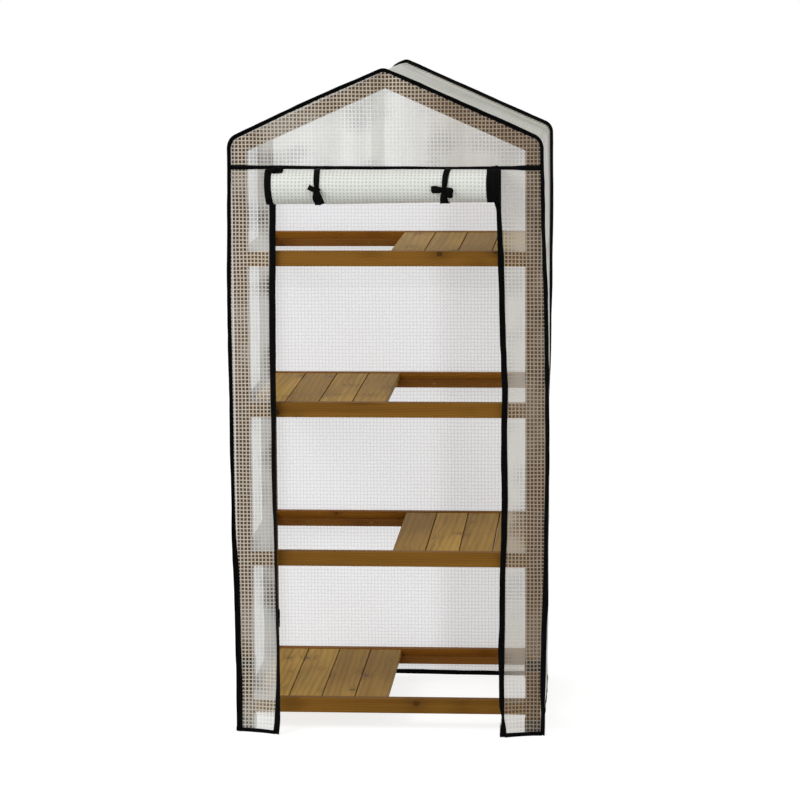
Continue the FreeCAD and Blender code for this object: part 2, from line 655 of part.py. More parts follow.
def make_tie(x, bow):
    """A ribbon sewn to the seam, round the roll and knotted in front."""
    x0 = x - RIBBON_WIDTH / 2
    x1 = x + RIBBON_WIDTH / 2
    inner = ROLL_RADIUS + RIBBON_LIFT
    outer = inner + RIBBON_THICK
    axis = V(1, 0, 0)
    base = V(x0, ROLL_Y, ROLL_Z)
    band = Part.makeCylinder(outer, RIBBON_WIDTH, base, axis)
    band = band.cut(Part.makeCylinder(inner, RIBBON_WIDTH + 2, V(x0 - 1, ROLL_Y, ROLL_Z), axis))
    landing = math.radians(TIE_LANDING)
    rise = inner * math.sin(landing)
    band = band.cut(block(x0 - 1, x1 + 1, ROLL_Y, ROLL_Y + 2 * outer, ROLL_Z + rise, ROLL_Z + 2 * outer))
    over = block(x0, x1, ROLL_Y, ZIP_LINE, ROLL_Z + inner, ROLL_Z + outer)
    back_start = ROLL_Y + inner * math.cos(landing)
    under = block(x0, x1, back_start, Y_FRONT, ROLL_Z + rise - RIBBON_THICK, ROLL_Z + rise)
    under = under.cut(Part.makeCylinder(inner, RIBBON_WIDTH + 2, V(x0 - 1, ROLL_Y, ROLL_Z), axis))
    half = KNOT_SIZE / 2
    y1 = ROLL_Y - inner
    knot = block(x - half, x + half, y1 - KNOT_DEPTH, y1, KNOT_HEIGHT - half, KNOT_HEIGHT + half)
    knot = knot.makeFillet(0.25 * KNOT_SIZE, knot.Edges)
    knot = knot.cut(Part.makeCylinder(inner, RIBBON_WIDTH + 2, V(x0 - 1, ROLL_Y, ROLL_Z), axis))
    extras = [over, under, knot]
    if bow:
        extras += [ribbon_loop(x, -1), ribbon_loop(x, 1), ribbon_tail(x, BOW_TAIL_LEAN, TAIL_LENGTH)]
    else:
        extras.append(ribbon_tail(x, LONG_TAIL_LEAN, TAIL_LENGTH))
        extras.append(ribbon_tail(x, SHORT_TAIL_LEAN, SHORT_TAIL))
    return band.multiFuse(extras)


# Zips

def make_slider(side):
    """A slider riding the free edge of one zip tape, and its hinged pull."""
    middle = ZIP_TAPE_INNER
    inner = middle - SLIDER_WIDTH / 2
    low = SLIDER_TOP - SLIDER_LENGTH
    front = ZIP_LINE - SEWN_GAP - SLIDER_CLEARANCE
    back = Y_FRONT - SEWN_GAP + SLIDER_CLEARANCE
    face = front - SLIDER_PLATE
    plate = block(inner, middle + SLIDER_WIDTH / 2, face, front, low, SLIDER_TOP)
    plate = eased(plate, V(0, 1, 0), SLIDER_CORNER)
    rear = block(inner + SLIDER_CORNER, OPENING_HALF - SLIDER_CLEARANCE, back, back + SLIDER_PLATE,
                 low + SLIDER_CORNER, SLIDER_TOP - SLIDER_CORNER)
    bridge = block(inner + SLIDER_CORNER, ZIP_TAPE_INNER - SLIDER_CLEARANCE, front, back,
                   SLIDER_TOP - SLIDER_CORNER - SLIDER_BRIDGE, SLIDER_TOP - SLIDER_CORNER)

    half = PULL_WIDTH / 2
    outside = half + EAR_GAP + EAR_THICK
    pivot = V(middle, face - EAR_REACH, SLIDER_TOP - PIVOT_DROP)
    ears = [block(x, x + EAR_THICK, pivot.y - EAR_REACH, face, pivot.z - EAR_REACH, pivot.z + EAR_REACH)
            for x in (middle - outside, middle + outside - EAR_THICK)]
    pin = Part.makeCylinder(PIVOT_R, 2 * outside, V(middle - outside, pivot.y, pivot.z), V(1, 0, 0))
    body = plate.multiFuse([rear, bridge, pin] + ears)

    tip = pivot.z - PULL_LENGTH
    tab = block(middle - half, middle + half, pivot.y - PULL_THICK / 2, pivot.y + PULL_THICK / 2,
                tip, pivot.z)
    tab = eased(tab, V(0, 1, 0), SLIDER_CORNER)
    eye = Part.makeCylinder(PIVOT_R + PULL_THICK / 2, PULL_WIDTH,
                            V(middle - half, pivot.y, pivot.z), V(1, 0, 0))
    bore = Part.makeCylinder(PIVOT_R + PIVOT_FIT, PULL_WIDTH + 2,
                             V(middle - half - 1, pivot.y, pivot.z), V(1, 0, 0))
    window = block(middle - half + PULL_FRAME, middle + half - PULL_FRAME,
                   pivot.y - PULL_THICK, pivot.y + PULL_THICK,
                   tip + PULL_FRAME, tip + PULL_FRAME + PULL_WINDOW)
    tab = tab.fuse(eye).cut(bore).cut(window)
    name = "right" if side > 0 else "left"
    put(f"{name}_zip_slider", body if side > 0 else mirrored(body))
    put(f"{name}_zip_pull", tab if side > 0 else mirrored(tab))


def main():
    make_frame()
    make_feet_and_straps()
    for shelf in SHELF_NAMES:
        make_deck(shelf)
    make_wrap()
    make_front()
    make_back()
    make_bindings()
    make_roll()
    put("left_door_tie", make_tie(LEFT_TIE_X, False))
    put("right_door_tie", make_tie(RIGHT_TIE_X, True))
    for side in (-1, 1):
        make_slider(side)

    os.makedirs("parts", exist_ok=True)
    for name, shape in nodes.items():
        shape.translate(V(0, ORIGIN_SHIFT, 0))
        assert shape.isValid(), name
        shape.exportStep(f"parts/{name}.step")
    print(len(nodes), "nodes")


main()
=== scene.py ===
"""Looks of a wooden mini greenhouse: film cover, black bindings, rolled door and stained pine.

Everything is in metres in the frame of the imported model: X to the right, Y to the back,
Z up, with the floor at zero. The door is at the front.
"""
import math

import bpy
import bmesh
from mathutils import Matrix, Vector, noise


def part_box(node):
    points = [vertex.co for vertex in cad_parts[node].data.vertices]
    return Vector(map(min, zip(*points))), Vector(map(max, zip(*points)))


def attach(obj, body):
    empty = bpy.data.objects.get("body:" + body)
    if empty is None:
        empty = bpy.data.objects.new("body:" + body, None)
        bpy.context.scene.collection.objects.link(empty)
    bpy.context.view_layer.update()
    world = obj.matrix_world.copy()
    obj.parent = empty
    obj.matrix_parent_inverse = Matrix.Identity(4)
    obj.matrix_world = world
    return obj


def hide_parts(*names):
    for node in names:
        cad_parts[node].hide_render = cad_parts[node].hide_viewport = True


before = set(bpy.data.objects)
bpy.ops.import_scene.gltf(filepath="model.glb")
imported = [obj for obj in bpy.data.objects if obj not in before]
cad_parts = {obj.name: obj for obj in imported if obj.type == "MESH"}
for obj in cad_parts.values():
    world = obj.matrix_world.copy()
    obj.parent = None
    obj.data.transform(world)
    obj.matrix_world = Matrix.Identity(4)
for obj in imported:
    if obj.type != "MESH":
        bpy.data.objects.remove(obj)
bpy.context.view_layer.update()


# Places taken from the frame

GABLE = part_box("gable_panel")
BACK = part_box("back_panel")
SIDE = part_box("left_side_panel")
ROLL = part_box("rolled_door")
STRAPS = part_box("post_straps")
FRONT_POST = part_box("front_right_post")
BACK_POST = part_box("back_right_post")

FRONT_Y = (GABLE[0].y + GABLE[1].y) / 2
BACK_Y = (BACK[0].y + BACK[1].y) / 2
DEPTH = BACK_Y - FRONT_Y
WOOD_FRONT_Y = FRONT_POST[0].y
WOOD_BACK_Y = BACK_POST[1].y
WOOD_HALF = FRONT_POST[1].x
SEAM_Z = GABLE[0].z
HEM_Z = SIDE[0].z
BACK_HEM_Z = BACK[0].z
RAILS = [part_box(f"front_rail_{deck}") for deck in ("bottom", "lower", "upper", "top")]
POST_INNER = FRONT_POST[0].x
POST_DEPTH = FRONT_POST[1].y - FRONT_POST[0].y
RIDGE_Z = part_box("left_roof_panel")[1].z
ROLL_RADIUS = (ROLL[1].z - ROLL[0].z) / 2
ROLL_Z = ROLL[1].z - ROLL_RADIUS
ROLL_Y = ROLL[0].y + ROLL_RADIUS


# Sizes of the cover, measured in the photograph

ROOF_PITCH = math.radians(24)
PITCH_SIN = math.sin(ROOF_PITCH)
PITCH_COS = math.cos(ROOF_PITCH)
PITCH_TAN = math.tan(ROOF_PITCH)
FRONT_EAVE_ROUND = 0.028
BACK_EAVE_ROUND = 0.022
# Place of the ridge across, how far the film stands above it, and the radius of its bend there
FRONT_RIDGE = (-0.0038, 0.0013, 0.018)
BACK_RIDGE = (0.0118, 0.0027, 0.010)
MIDDLE_RIDGE = (0.0, 0.0004, 0.006)
# Height and half width of the four sewn corners, each from hem to eave
FRONT_LEFT_EDGE = ((0.003, 0.3440), (0.12, 0.3445), (0.21, 0.3468), (0.33, 0.3482), (0.44, 0.3506),
                   (0.68, 0.3516), (0.99, 0.3527), (1.17, 0.3502), (1.35, 0.3478))
FRONT_RIGHT_EDGE = ((0.003, 0.3478), (0.04, 0.3488), (0.10, 0.3474), (0.217, 0.3491), (0.333, 0.3533),
                    (0.449, 0.3548), (0.62, 0.3573), (0.791, 0.3565), (0.905, 0.3553), (0.995, 0.3536),
                    (1.084, 0.3506), (1.174, 0.3474), (1.26, 0.3470), (1.33, 0.3452), (1.35, 0.3452))
BACK_LEFT_EDGE = ((0.003, 0.3468), (0.70, 0.3474), (1.35, 0.3466))
BACK_RIGHT_EDGE = ((0.003, 0.3467), (0.22, 0.3470), (0.47, 0.3482), (0.71, 0.3480), (0.84, 0.3520),
                   (1.03, 0.3553), (1.225, 0.3567), (1.35, 0.3560))
# Height and how far the folded tape stands out beyond each corner
FRONT_LEFT_REACH = ((0.003, 0.0058), (0.5, 0.0058), (1.35, 0.0062))
FRONT_RIGHT_REACH = ((0.003, 0.0080), (0.06, 0.0080), (0.14, 0.0104), (0.31, 0.0106), (0.44, 0.0080),
                     (1.25, 0.0076), (1.33, 0.0058))
BACK_LEFT_REACH = ((0.003, 0.0040), (1.35, 0.0040))
BACK_RIGHT_REACH = ((0.003, 0.0042), (0.3, 0.0062), (0.6, 0.0072), (1.35, 0.0070))
# Height and how far in from the corner the folded tape sits
FRONT_LEFT_LAP = ((0.003, 0.0046), (0.36, 0.0042), (0.50, 0.0))
NO_LAP = ((0.0, 0.0), (1.35, 0.0))
# Degrees that the folded tape leans over, on the roof and where it lies behind the roof
ROOF_FIN_TILT = 48
HIDDEN_FIN_TILT = 98
LEFT_WALL_HALF = 0.3500
LEFT_WALL_BULGE = 0.0045
RIGHT_WALL_HALF = 0.3506
RIGHT_WALL_BULGE = 0.0050
WALL_HEIGHT = 1.36
WALL_MARGIN = 0.0010
# The wall clears the foot caps below this height by this much more
CAP_HEIGHT = 0.04
CAP_MARGIN = 0.0012
# Height whose half width sets the eave, and how the wall goes over to it below the eave
EAVE_TOP = 1.33
EAVE_BLEND_BELOW = 0.16
EAVE_BLEND = 0.14
# How far from a sewn edge the sheet is drawn in or out to it
PULL_IN = 0.0035
PULL_OUT = 0.070
GRIP_WIDTH = 0.030
RIDGE_HALF = 0.014
PANEL_TOP_GAP = 0.0004
ROOF_SAG = 0.006
SIDE_RUCK = 0.0016
ROOF_RUCK = 0.0011
RAFTER_DROP = 0.0372
FRONT_RUCK = 0.0008
# How far the front leans out at the floor, and the height below which it does
LEFT_LEAN = 0.023
RIGHT_LEAN = 0.029
LEAN_HEIGHT = 0.32

# Height and half width of the door tapes, first the sewn edge and then the free edge
LEFT_TAPE_SEWN = ((0.003, 0.2634), (0.034, 0.2611), (0.069, 0.2595), (0.117, 0.2581), (0.187, 0.2574),
                  (0.257, 0.2589), (0.40, 0.2603), (0.467, 0.2610), (0.536, 0.2635), (0.606, 0.2644),
                  (0.698, 0.2638), (0.789, 0.2649), (0.903, 0.2656), (0.994, 0.2651), (1.129, 0.2628),
                  (1.196, 0.2615), (1.289, 0.2605))
LEFT_TAPE_FREE = ((0.003, 0.2490), (0.034, 0.2475), (0.069, 0.2478), (0.187, 0.2494), (0.257, 0.2522),
                  (0.351, 0.2535), (0.467, 0.2528), (0.536, 0.2536), (0.606, 0.2532), (0.789, 0.2513),
                  (0.994, 0.2497), (1.129, 0.2477), (1.196, 0.2466), (1.289, 0.2462))
RIGHT_TAPE_SEWN = ((0.003, 0.2700), (0.017, 0.2686), (0.045, 0.2640), (0.076, 0.2640), (0.122, 0.2632),
                   (0.193, 0.2640), (0.262, 0.2650), (0.355, 0.2655), (0.471, 0.2700), (0.54, 0.2718),
                   (0.70, 0.2700), (0.791, 0.2722), (0.859, 0.2691), (0.904, 0.2674), (0.994, 0.2652),
                   (1.084, 0.2635), (1.129, 0.2605), (1.196, 0.2572), (1.289, 0.2570))
RIGHT_TAPE_FREE = ((0.003, 0.2545), (0.017, 0.2552), (0.045, 0.2590), (0.076, 0.2522), (0.122, 0.2517),
                   (0.193, 0.2500), (0.262, 0.2522), (0.355, 0.2532), (0.471, 0.2560), (0.54, 0.2582),
                   (0.62, 0.2560), (0.70, 0.2566), (0.791, 0.2590), (0.859, 0.2570), (0.904, 0.2545),
                   (0.994, 0.2525), (1.084, 0.2500), (1.129, 0.2490), (1.196, 0.2474), (1.289, 0.2470))
# How far the film reaches under a zip tape
TAPE_OVERLAP = 0.004
TAPE_WIDTH = 0.0156
TAPE_THICK = 0.0010
TAPE_IN_FRONT = 0.0014
COIL_INSET = 0.0008
# The tapes lie flat behind the roll from this height on
TAPE_FLAT_FROM = 1.195
TAPE_FLAT_BLEND = 0.030
FLARE_FROM_X = 0.340
FLARE_HEIGHT = 0.250
LEFT_FLARE = 0.022
RIGHT_FLARE = 0.020

BINDING_LENGTH = 0.0137
BINDING_START = -0.0028
BINDING_THICK = 0.0024
HEM_TAPE_HEIGHT = 0.0095
HEM_TAPE_THICK = 0.0022
HEM_TAPE_LOW = 0.0003
BACK_HEM_LOW = ((-0.35, 0.0058), (-0.10, 0.0056), (0.20, 0.0026), (0.35, 0.0022))
SEAM_TAPE_HEIGHT = 0.0080
# Place across, and height of the seam tape's middle there beside the seam
SEAM_RISE = ((-0.35, 0.0028), (-0.20, 0.0022), (0.0, 0.0006), (0.19, 0.0000), (0.35, 0.0002))
# Place across, and how much taller than usual the seam tape is there
SEAM_SWELL = ((-0.35, 1.35), (-0.28, 1.05), (-0.10, 0.96), (0.10, 0.80), (0.20, 0.78), (0.277, 1.05),
              (0.33, 1.5))

GRID_ACROSS = 0.00825
GRID_DOWN = 0.00855
ROLL_TURNS = 6
ROLL_TURN_GAP = 0.0022
ROLL_TAPER = 0.0023
# The wound zip tapes at the roll's ends, each from its left edge to its right edge
LEFT_DOOR_TAPE = (-0.2604, -0.2452)
RIGHT_DOOR_TAPE = (0.2284, 0.2558)
RIBBON_THICK = 0.0006
RIBBON_CLOTH_START = 0.0075
STRAP_WIDTH = 0.024
STRAP_THICK = 0.0012
STRAP_CORNER = 0.0022
SLAT_WIDTH = 0.074
SLAT_STEP = 0.0765
COIL_PITCH = 0.0020
UP = Vector((0.0, 0.0, 1.0))
FRONT_LOOK = Vector((0.0, -1.0, 0.0))


# Small tools for shapes

def between(points, at):
    """A smooth value between the rows of a short list of (place, value)."""
    if at <= points[0][0]:
        return points[0][1]
    for (a, va), (b, vb) in zip(points, points[1:]):
        if at <= b:
            share = (at - a) / (b - a)
            share = share * share * (3 - 2 * share)
            return va + (vb - va) * share
    return points[-1][1]


def waver(seed, along, span):
    """A smooth wander between about -1 and 1 along a line."""
    return 1.6 * noise.noise(Vector((along / span, seed * 5.71, 0.37 + seed)))


def ruck(seed, u, v, span_u, span_v):
    """A smooth wander over a cloth, long in one way and short in the other."""
    return 1.6 * noise.noise(Vector((u / span_u, v / span_v, seed * 3.17)))


def smooth_share(value):
    value = min(1.0, max(0.0, value))
    return value * value * (3 - 2 * value)


def rounded_line(points, steps):
    """Points along a smooth curve through the given ones."""
    ends = [points[0] * 2 - points[1]] + list(points) + [points[-1] * 2 - points[-2]]
    line = []
    for a, b, c, d in zip(ends, ends[1:], ends[2:], ends[3:]):
        for step in range(steps):
            t = step / steps
            line.append(0.5 * (2 * b + (c - a) * t + (2 * a - 5 * b + 4 * c - d) * t * t
                               + (3 * b - a - 3 * c + d) * t ** 3))
    line.append(points[-1].copy())
    return line


def lengths(points):
    """Distance from the first point to each point along a line."""
    total = [0.0]
    for a, b in zip(points, points[1:]):
        total.append(total[-1] + (b - a).length)
    return total


def tangents(points):
    last = len(points) - 1
    return [(points[min(i + 1, last)] - points[max(i - 1, 0)]).normalized()
            for i in range(len(points))]


def new_object(name, data):
    thing = bpy.data.objects.new(name, data)
    bpy.context.scene.collection.objects.link(thing)
    return thing


def new_piece(name, points, faces, cloth, closed=True):
    """A mesh object whose cloth map holds metres along and across the cloth."""
    mesh = bpy.data.meshes.new(name)
    mesh.from_pydata([tuple(p) for p in points], [], faces)
    layer = mesh.uv_layers.new(name="cloth")
    for loop in mesh.loops:
        layer.data[loop.index].uv = cloth[loop.vertex_index]
    if closed:
        work = bmesh.new()
        work.from_mesh(mesh)
        bmesh.ops.recalc_face_normals(work, faces=work.faces)
        work.to_mesh(mesh)
        work.free()
    mesh.shade_smooth()
    return new_object(name, mesh)


def sheet_of(name, rows, cloth_rows, turned=False):
    """An open sheet from rows of points, with a row of cloth places for each."""
    wide = len(rows[0])
    points = [p for row in rows for p in row]
    cloth = [c for row in cloth_rows for c in row]
    faces = []
    for i in range(len(rows) - 1):
        for j in range(wide - 1):
            a = i * wide + j
            corners = (a, a + 1, a + wide + 1, a + wide)
            faces.append(corners[::-1] if turned else corners)
    return new_piece(name, points, faces, cloth, closed=False)


def flat_section(width, thick, start=0.0, corner=4):
    """A flat strip's outline with round edges, as points across and through it."""
    half = thick / 2
    outline = []
    for middle, first in ((start + width - half, -90), (start + half, 90)):
        for step in range(corner + 1):
            angle = math.radians(first + 180 * step / corner)
            outline.append((middle + half * math.cos(angle), half * math.sin(angle)))
    return outline


def sweep(name, stations, section, closed=False, cloth_across=lambda a, wide: a):
    """A closed section carried along stations: a point, two directions and the scales along them."""
    run = lengths([station[0] for station in stations])
    count = len(section)
    points = []
    cloth = []
    for (centre, across, through, wide, thick), r in zip(stations, run):
        for a, b in section:
            points.append(centre + across * (a * wide) + through * (b * thick))
            cloth.append((r, cloth_across(a, wide)))
    starts = [i * count for i in range(len(stations))]
    ends = starts[1:] + starts[:1] if closed else starts[1:]
    faces = []
    for this, following in zip(starts, ends):
        for k in range(count):
            n = (k + 1) % count
            faces.append((this + k, this + n, following + n, following + k))
    if not closed:
        faces.append(tuple(range(count)))
        faces.append(tuple(range(starts[-1], starts[-1] + count)))
    return new_piece(name, points, faces, cloth)


# A zip's link: across the tape, along it and through it
LINK = (0.0024, 0.0012, 0.0017)


def teeth(name, stations, reach):
    """A zip's coil as a row of small rounded links beside a line of stations."""
    path = [station[0] for station in stations]
    run = lengths(path)
    ways = tangents(path)
    points = []
    faces = []
    cloth = []
    at = COIL_PITCH / 2
    i = 0
    while at < run[-1]:
        while run[i + 1] < at:
            i += 1
        _, across, through, _, _ = stations[i]
        share = (at - run[i]) / (run[i + 1] - run[i])
        centre = path[i].lerp(path[i + 1], share) + across * reach
        first = len(points)
        for along, scale in ((-0.5, 0.6), (0.0, 1.0), (0.5, 0.6)):
            for step in range(6):
                angle = math.radians(60 * step)
                points.append(centre + ways[i] * (LINK[1] * along)
                              + across * (LINK[0] / 2 * scale * math.cos(angle))
                              + through * (LINK[2] / 2 * scale * math.sin(angle)))
                cloth.append((at + LINK[1] * along, LINK[0] * math.cos(angle)))
        for base in (first, first + 6):
            for k in range(6):
                n = (k + 1) % 6
                faces.append((base + k, base + n, base + 6 + n, base + 6 + k))
        faces.append(tuple(range(first, first + 6)))
        faces.append(tuple(range(first + 12, first + 18)))
        at += COIL_PITCH
    return new_piece(name, points, faces, cloth)


def place(piece, material, slot, body, *nodes):
    """Gives a piece its material, its body, and the nodes that it stands for; the slot is not used."""
    piece.data.materials.append(material)
    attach(piece, body)
    if nodes:
        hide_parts(*nodes)
    return piece


# Small tools for materials

def paint(red, green, blue):
    """A colour given as screen values from 0 to 255."""
    shares = [value / 255 for value in (red, green, blue)]
    return (*[s / 12.92 if s <= 0.04045 else ((s + 0.055) / 1.055) ** 2.4 for s in shares], 1.0)


def feed(socket, value):
    """Sets an input from a number, a colour, or another node's output."""
    if isinstance(value, bpy.types.NodeSocket):
        socket.id_data.links.new(value, socket)
    else:
        socket.default_value = value


def feed_all(sockets, **values):
    """Sets several inputs by their names, with _ for a space."""
    for name, value in values.items():
        feed(sockets[name.replace("_", " ")], value)


def new_node(tree, kind, **settings):
    node = tree.nodes.new("ShaderNode" + kind)
    for name, value in settings.items():
        setattr(node, name, value)
    return node


def tree_of(values):
    """The node tree of the first output among some values."""
    return next(value.id_data for value in values if isinstance(value, bpy.types.NodeSocket))


def calc(operation, *values, clamp=False):
    """One step of maths, in the tree of the outputs that it takes."""
    node = new_node(tree_of(values), "Math", operation=operation, use_clamp=clamp)
    for socket, value in zip(node.inputs, values):
        feed(socket, value)
    return node.outputs[0]


def plus(a, b):
    return calc("ADD", a, b)


def less(a, b):
    return calc("SUBTRACT", a, b)


def rest_of(share):
    return less(1.0, share)


def times(first, *others):
    for other in others:
        first = calc("MULTIPLY", first, other)
    return first


def times_plus(a, b, c, clamp=False):
    """a times b, plus c."""
    return calc("MULTIPLY_ADD", a, b, c, clamp=clamp)


def slide(share, a, b):
    """A value that goes from a to b as the share goes from 0 to 1."""
    return times_plus(share, less(b, a), a)


def vector_calc(operation, a, b=None, scale=None):
    node = new_node(tree_of((a, b, scale)), "VectorMath", operation=operation)
    feed(node.inputs[0], a)
    if b is not None:
        feed(node.inputs[1], b)
    if scale is not None:
        feed(node.inputs["Scale"], scale)
    return node.outputs["Value"] if operation == "LENGTH" else node.outputs[0]


def soft_step(value, low, high):
    """0 below low, 1 above high, and smooth between them."""
    node = new_node(tree_of((value,)), "MapRange", interpolation_type="SMOOTHSTEP")
    feed_all(node.inputs, Value=value, From_Min=low, From_Max=high)
    return node.outputs["Result"]


def stretch(value, rise, risen, fall, fallen):
    """1 along a stretch, with a soft rise before it and a soft fall after it."""
    return less(soft_step(value, rise, risen), soft_step(value, fall, fallen))


def mixed(share, a, b, blend="MIX"):
    node = new_node(tree_of((share, a, b)), "Mix", data_type="RGBA", blend_type=blend)
    for number, value in ((0, share), (6, a), (7, b)):
        feed(node.inputs[number], value)
    return node.outputs[2]


def speckle(vector, scale, detail=2.0, rough=0.5):
    """Cloudy noise. A scale of three numbers stretches it along the axes."""
    if isinstance(scale, tuple):
        vector = vector_calc("MULTIPLY", vector, scale)
        scale = 1.0
    node = new_node(tree_of((vector,)), "TexNoise")
    feed_all(node.inputs, Vector=vector, Scale=scale, Detail=detail, Roughness=rough)
    return node.outputs["Fac"]


def parts_of(vector):
    node = new_node(tree_of((vector,)), "SeparateXYZ")
    feed(node.inputs[0], vector)
    return node.outputs


def new_group(name, inputs, outputs):
    """An empty node group with its named sockets, and its two end nodes."""
    group = bpy.data.node_groups.new(name, "ShaderNodeTree")
    for way, sockets in (("INPUT", inputs), ("OUTPUT", outputs)):
        for socket, kind in sockets.items():
            shown = socket.replace("_", " ")
            group.interface.new_socket(shown, in_out=way, socket_type="NodeSocket" + kind)
    given = group.nodes.new("NodeGroupInput").outputs
    made = group.nodes.new("NodeGroupOutput").inputs
    return group, given, made


def use(group, **values):
    """Puts a node group in a material and returns its outputs."""
    node = new_node(tree_of(values.values()), "Group", node_tree=group)
    feed_all(node.inputs, **values)
    return node.outputs


def new_material(name):
    """A material and its one Principled shader."""
    material = bpy.data.materials.new(name)
    material.use_nodes = True
    return material, material.node_tree.nodes["Principled BSDF"]


def source(material, kind, output, **settings):
    """An output of a new node that needs no input."""
    return new_node(material.node_tree, kind, **settings).outputs[output]


def object_place(material):
    return source(material, "TexCoord", "Object")


def cloth_place(material):
    return source(material, "UVMap", "UV", uv_map="cloth")


def raise_surface(shader, height, distance, strength):
    bump = new_node(shader.id_data, "Bump")
    feed_all(bump.inputs, Height=height, Distance=distance, Strength=strength)
    feed(shader.inputs["Normal"], bump.outputs[0])


# Stained pine

KNOT_CELLS = (7.0, 24.0, 24.0)
KNOT_SHAPE = (0.11, 0.0417, 0.0417)
KNOT_HEART = (0.012, 0.006, 0.003, 1.0)
PITH_DEPTH = 0.045
SURFACE = dict(Color="Color", Roughness="Float", Height="Float")


def pine_grain():
    """Growth rings, fibres and knots for a board whose grain runs along the first axis."""
    group, given, made = new_group(
        "pine_grain", dict(Place="Vector", Seed="Float", Light="Color", Dark="Color", Knot_share="Float",
                           Ring_width="Float"), SURFACE)
    shift = vector_calc("SCALE", (3.13, 0.377, 0.531), scale=given["Seed"])
    place_at = vector_calc("ADD", given["Place"], shift)

    cells = vector_calc("MULTIPLY", place_at, KNOT_CELLS)
    spots = new_node(group, "TexVoronoi")
    feed_all(spots.inputs, Vector=cells, Scale=1.0, Randomness=1.0)
    apart = vector_calc("MULTIPLY", vector_calc("SUBTRACT", cells, spots.outputs["Position"]), KNOT_SHAPE)
    away = vector_calc("LENGTH", apart)
    chance = parts_of(spots.outputs["Color"])
    present = calc("LESS_THAN", chance[0], given["Knot share"])
    radius = times(times_plus(chance[1], 0.0060, 0.0030), present)
    knot = times(rest_of(soft_step(away, times(radius, 0.75), radius)), present)
    halo = calc("DIVIDE", away, times_plus(radius, 3.2, 0.0001))
    halo = times(calc("POWER", 2.718, times(halo, halo, -1.0)), present)

    bend = less(speckle(place_at, (1.7, 7.0, 7.0), 1.0), 0.5)
    sway = less(speckle(place_at, (0.8, 1.2, 1.2), 0.0), 0.5)
    axes = parts_of(place_at)
    pushed = parts_of(vector_calc("SCALE", apart, scale=times(halo, 0.9)))
    across = times_plus(sway, 0.10, plus(times_plus(bend, 0.010, axes[1]), pushed[1]))
    depth = plus(plus(times_plus(bend, 0.008, axes[2]), pushed[2]), PITH_DEPTH)
    ring = calc("SQRT", times_plus(across, across, times(depth, depth)))
    year = calc("FRACT", calc("DIVIDE", ring, given["Ring width"]))
    late = times(soft_step(year, 0.25, 0.86), rest_of(soft_step(year, 0.90, 1.0)))

    fibre = speckle(place_at, (14.0, 700.0, 700.0), 2.0, 0.6)
    streak = speckle(place_at, (2.2, 95.0, 95.0))
    patch = speckle(place_at, (3.0, 16.0, 16.0))
    share = times(late, 0.24)
    for texture, middle, amount in ((streak, 0.36, 0.75), (patch, 0.5, 1.05), (fibre, 0.5, 0.30)):
        share = times_plus(less(texture, middle), amount, share)
    share = times_plus(halo, 0.35, share, clamp=True)
    colour = mixed(share, given["Light"], given["Dark"])
    heart = mixed(0.62, given["Dark"], KNOT_HEART)
    eye = times_plus(soft_step(away, 0.0, radius), 0.45, 0.45)
    feed_all(made, Color=mixed(times(knot, eye), colour, heart),
             Roughness=times_plus(knot, -0.10, times_plus(fibre, 0.16, 0.42)),
             Height=times_plus(knot, 0.4, times_plus(fibre, 0.55, times(late, 0.35))))
    return group


PINE_GRAIN = pine_grain()
QUARTER = math.pi / 2
GRAIN_ALONG = {
    "x": (0.0, 0.0, 0.0),
    "y": (0.0, 0.0, -QUARTER),
    "z": (0.0, QUARTER, 0.0),
    "left_slope": (0.0, ROOF_PITCH, 0.0),
    "right_slope": (0.0, -ROOF_PITCH, 0.0),
}


def pine(name, grain, seed, tones, knots, ring_width=0.0046, first_board=None):
    """Pine stained brown. Where first_board is given, each slat of a deck has its own tone and grain."""
    material, shader = new_material(name)
    place_at = object_place(material)
    light, dark = tones
    turn = new_node(material.node_tree, "Mapping")
    feed_all(turn.inputs, Vector=place_at, Rotation=GRAIN_ALONG[grain])
    board = seed
    if first_board is not None:
        count = calc("FLOOR", calc("DIVIDE", less(parts_of(place_at)[0], first_board), SLAT_STEP))
        board = times_plus(count, 1.37, seed)
        tone_from = new_node(material.node_tree, "TexWhiteNoise", noise_dimensions="1D")
        feed(tone_from.inputs["W"], board)
        light = mixed(times_plus(tone_from.outputs["Value"], 0.80, -0.28), light, dark)
    grained = use(PINE_GRAIN, Place=turn.outputs[0], Seed=board, Light=light, Dark=dark, Knot_share=knots,
                  Ring_width=ring_width)
    feed_all(shader.inputs, Base_Color=grained["Color"], Roughness=grained["Roughness"],
             Specular_IOR_Level=0.06)
    raise_surface(shader, grained["Height"], 0.0006, 0.5)
    return material


# Reinforced film

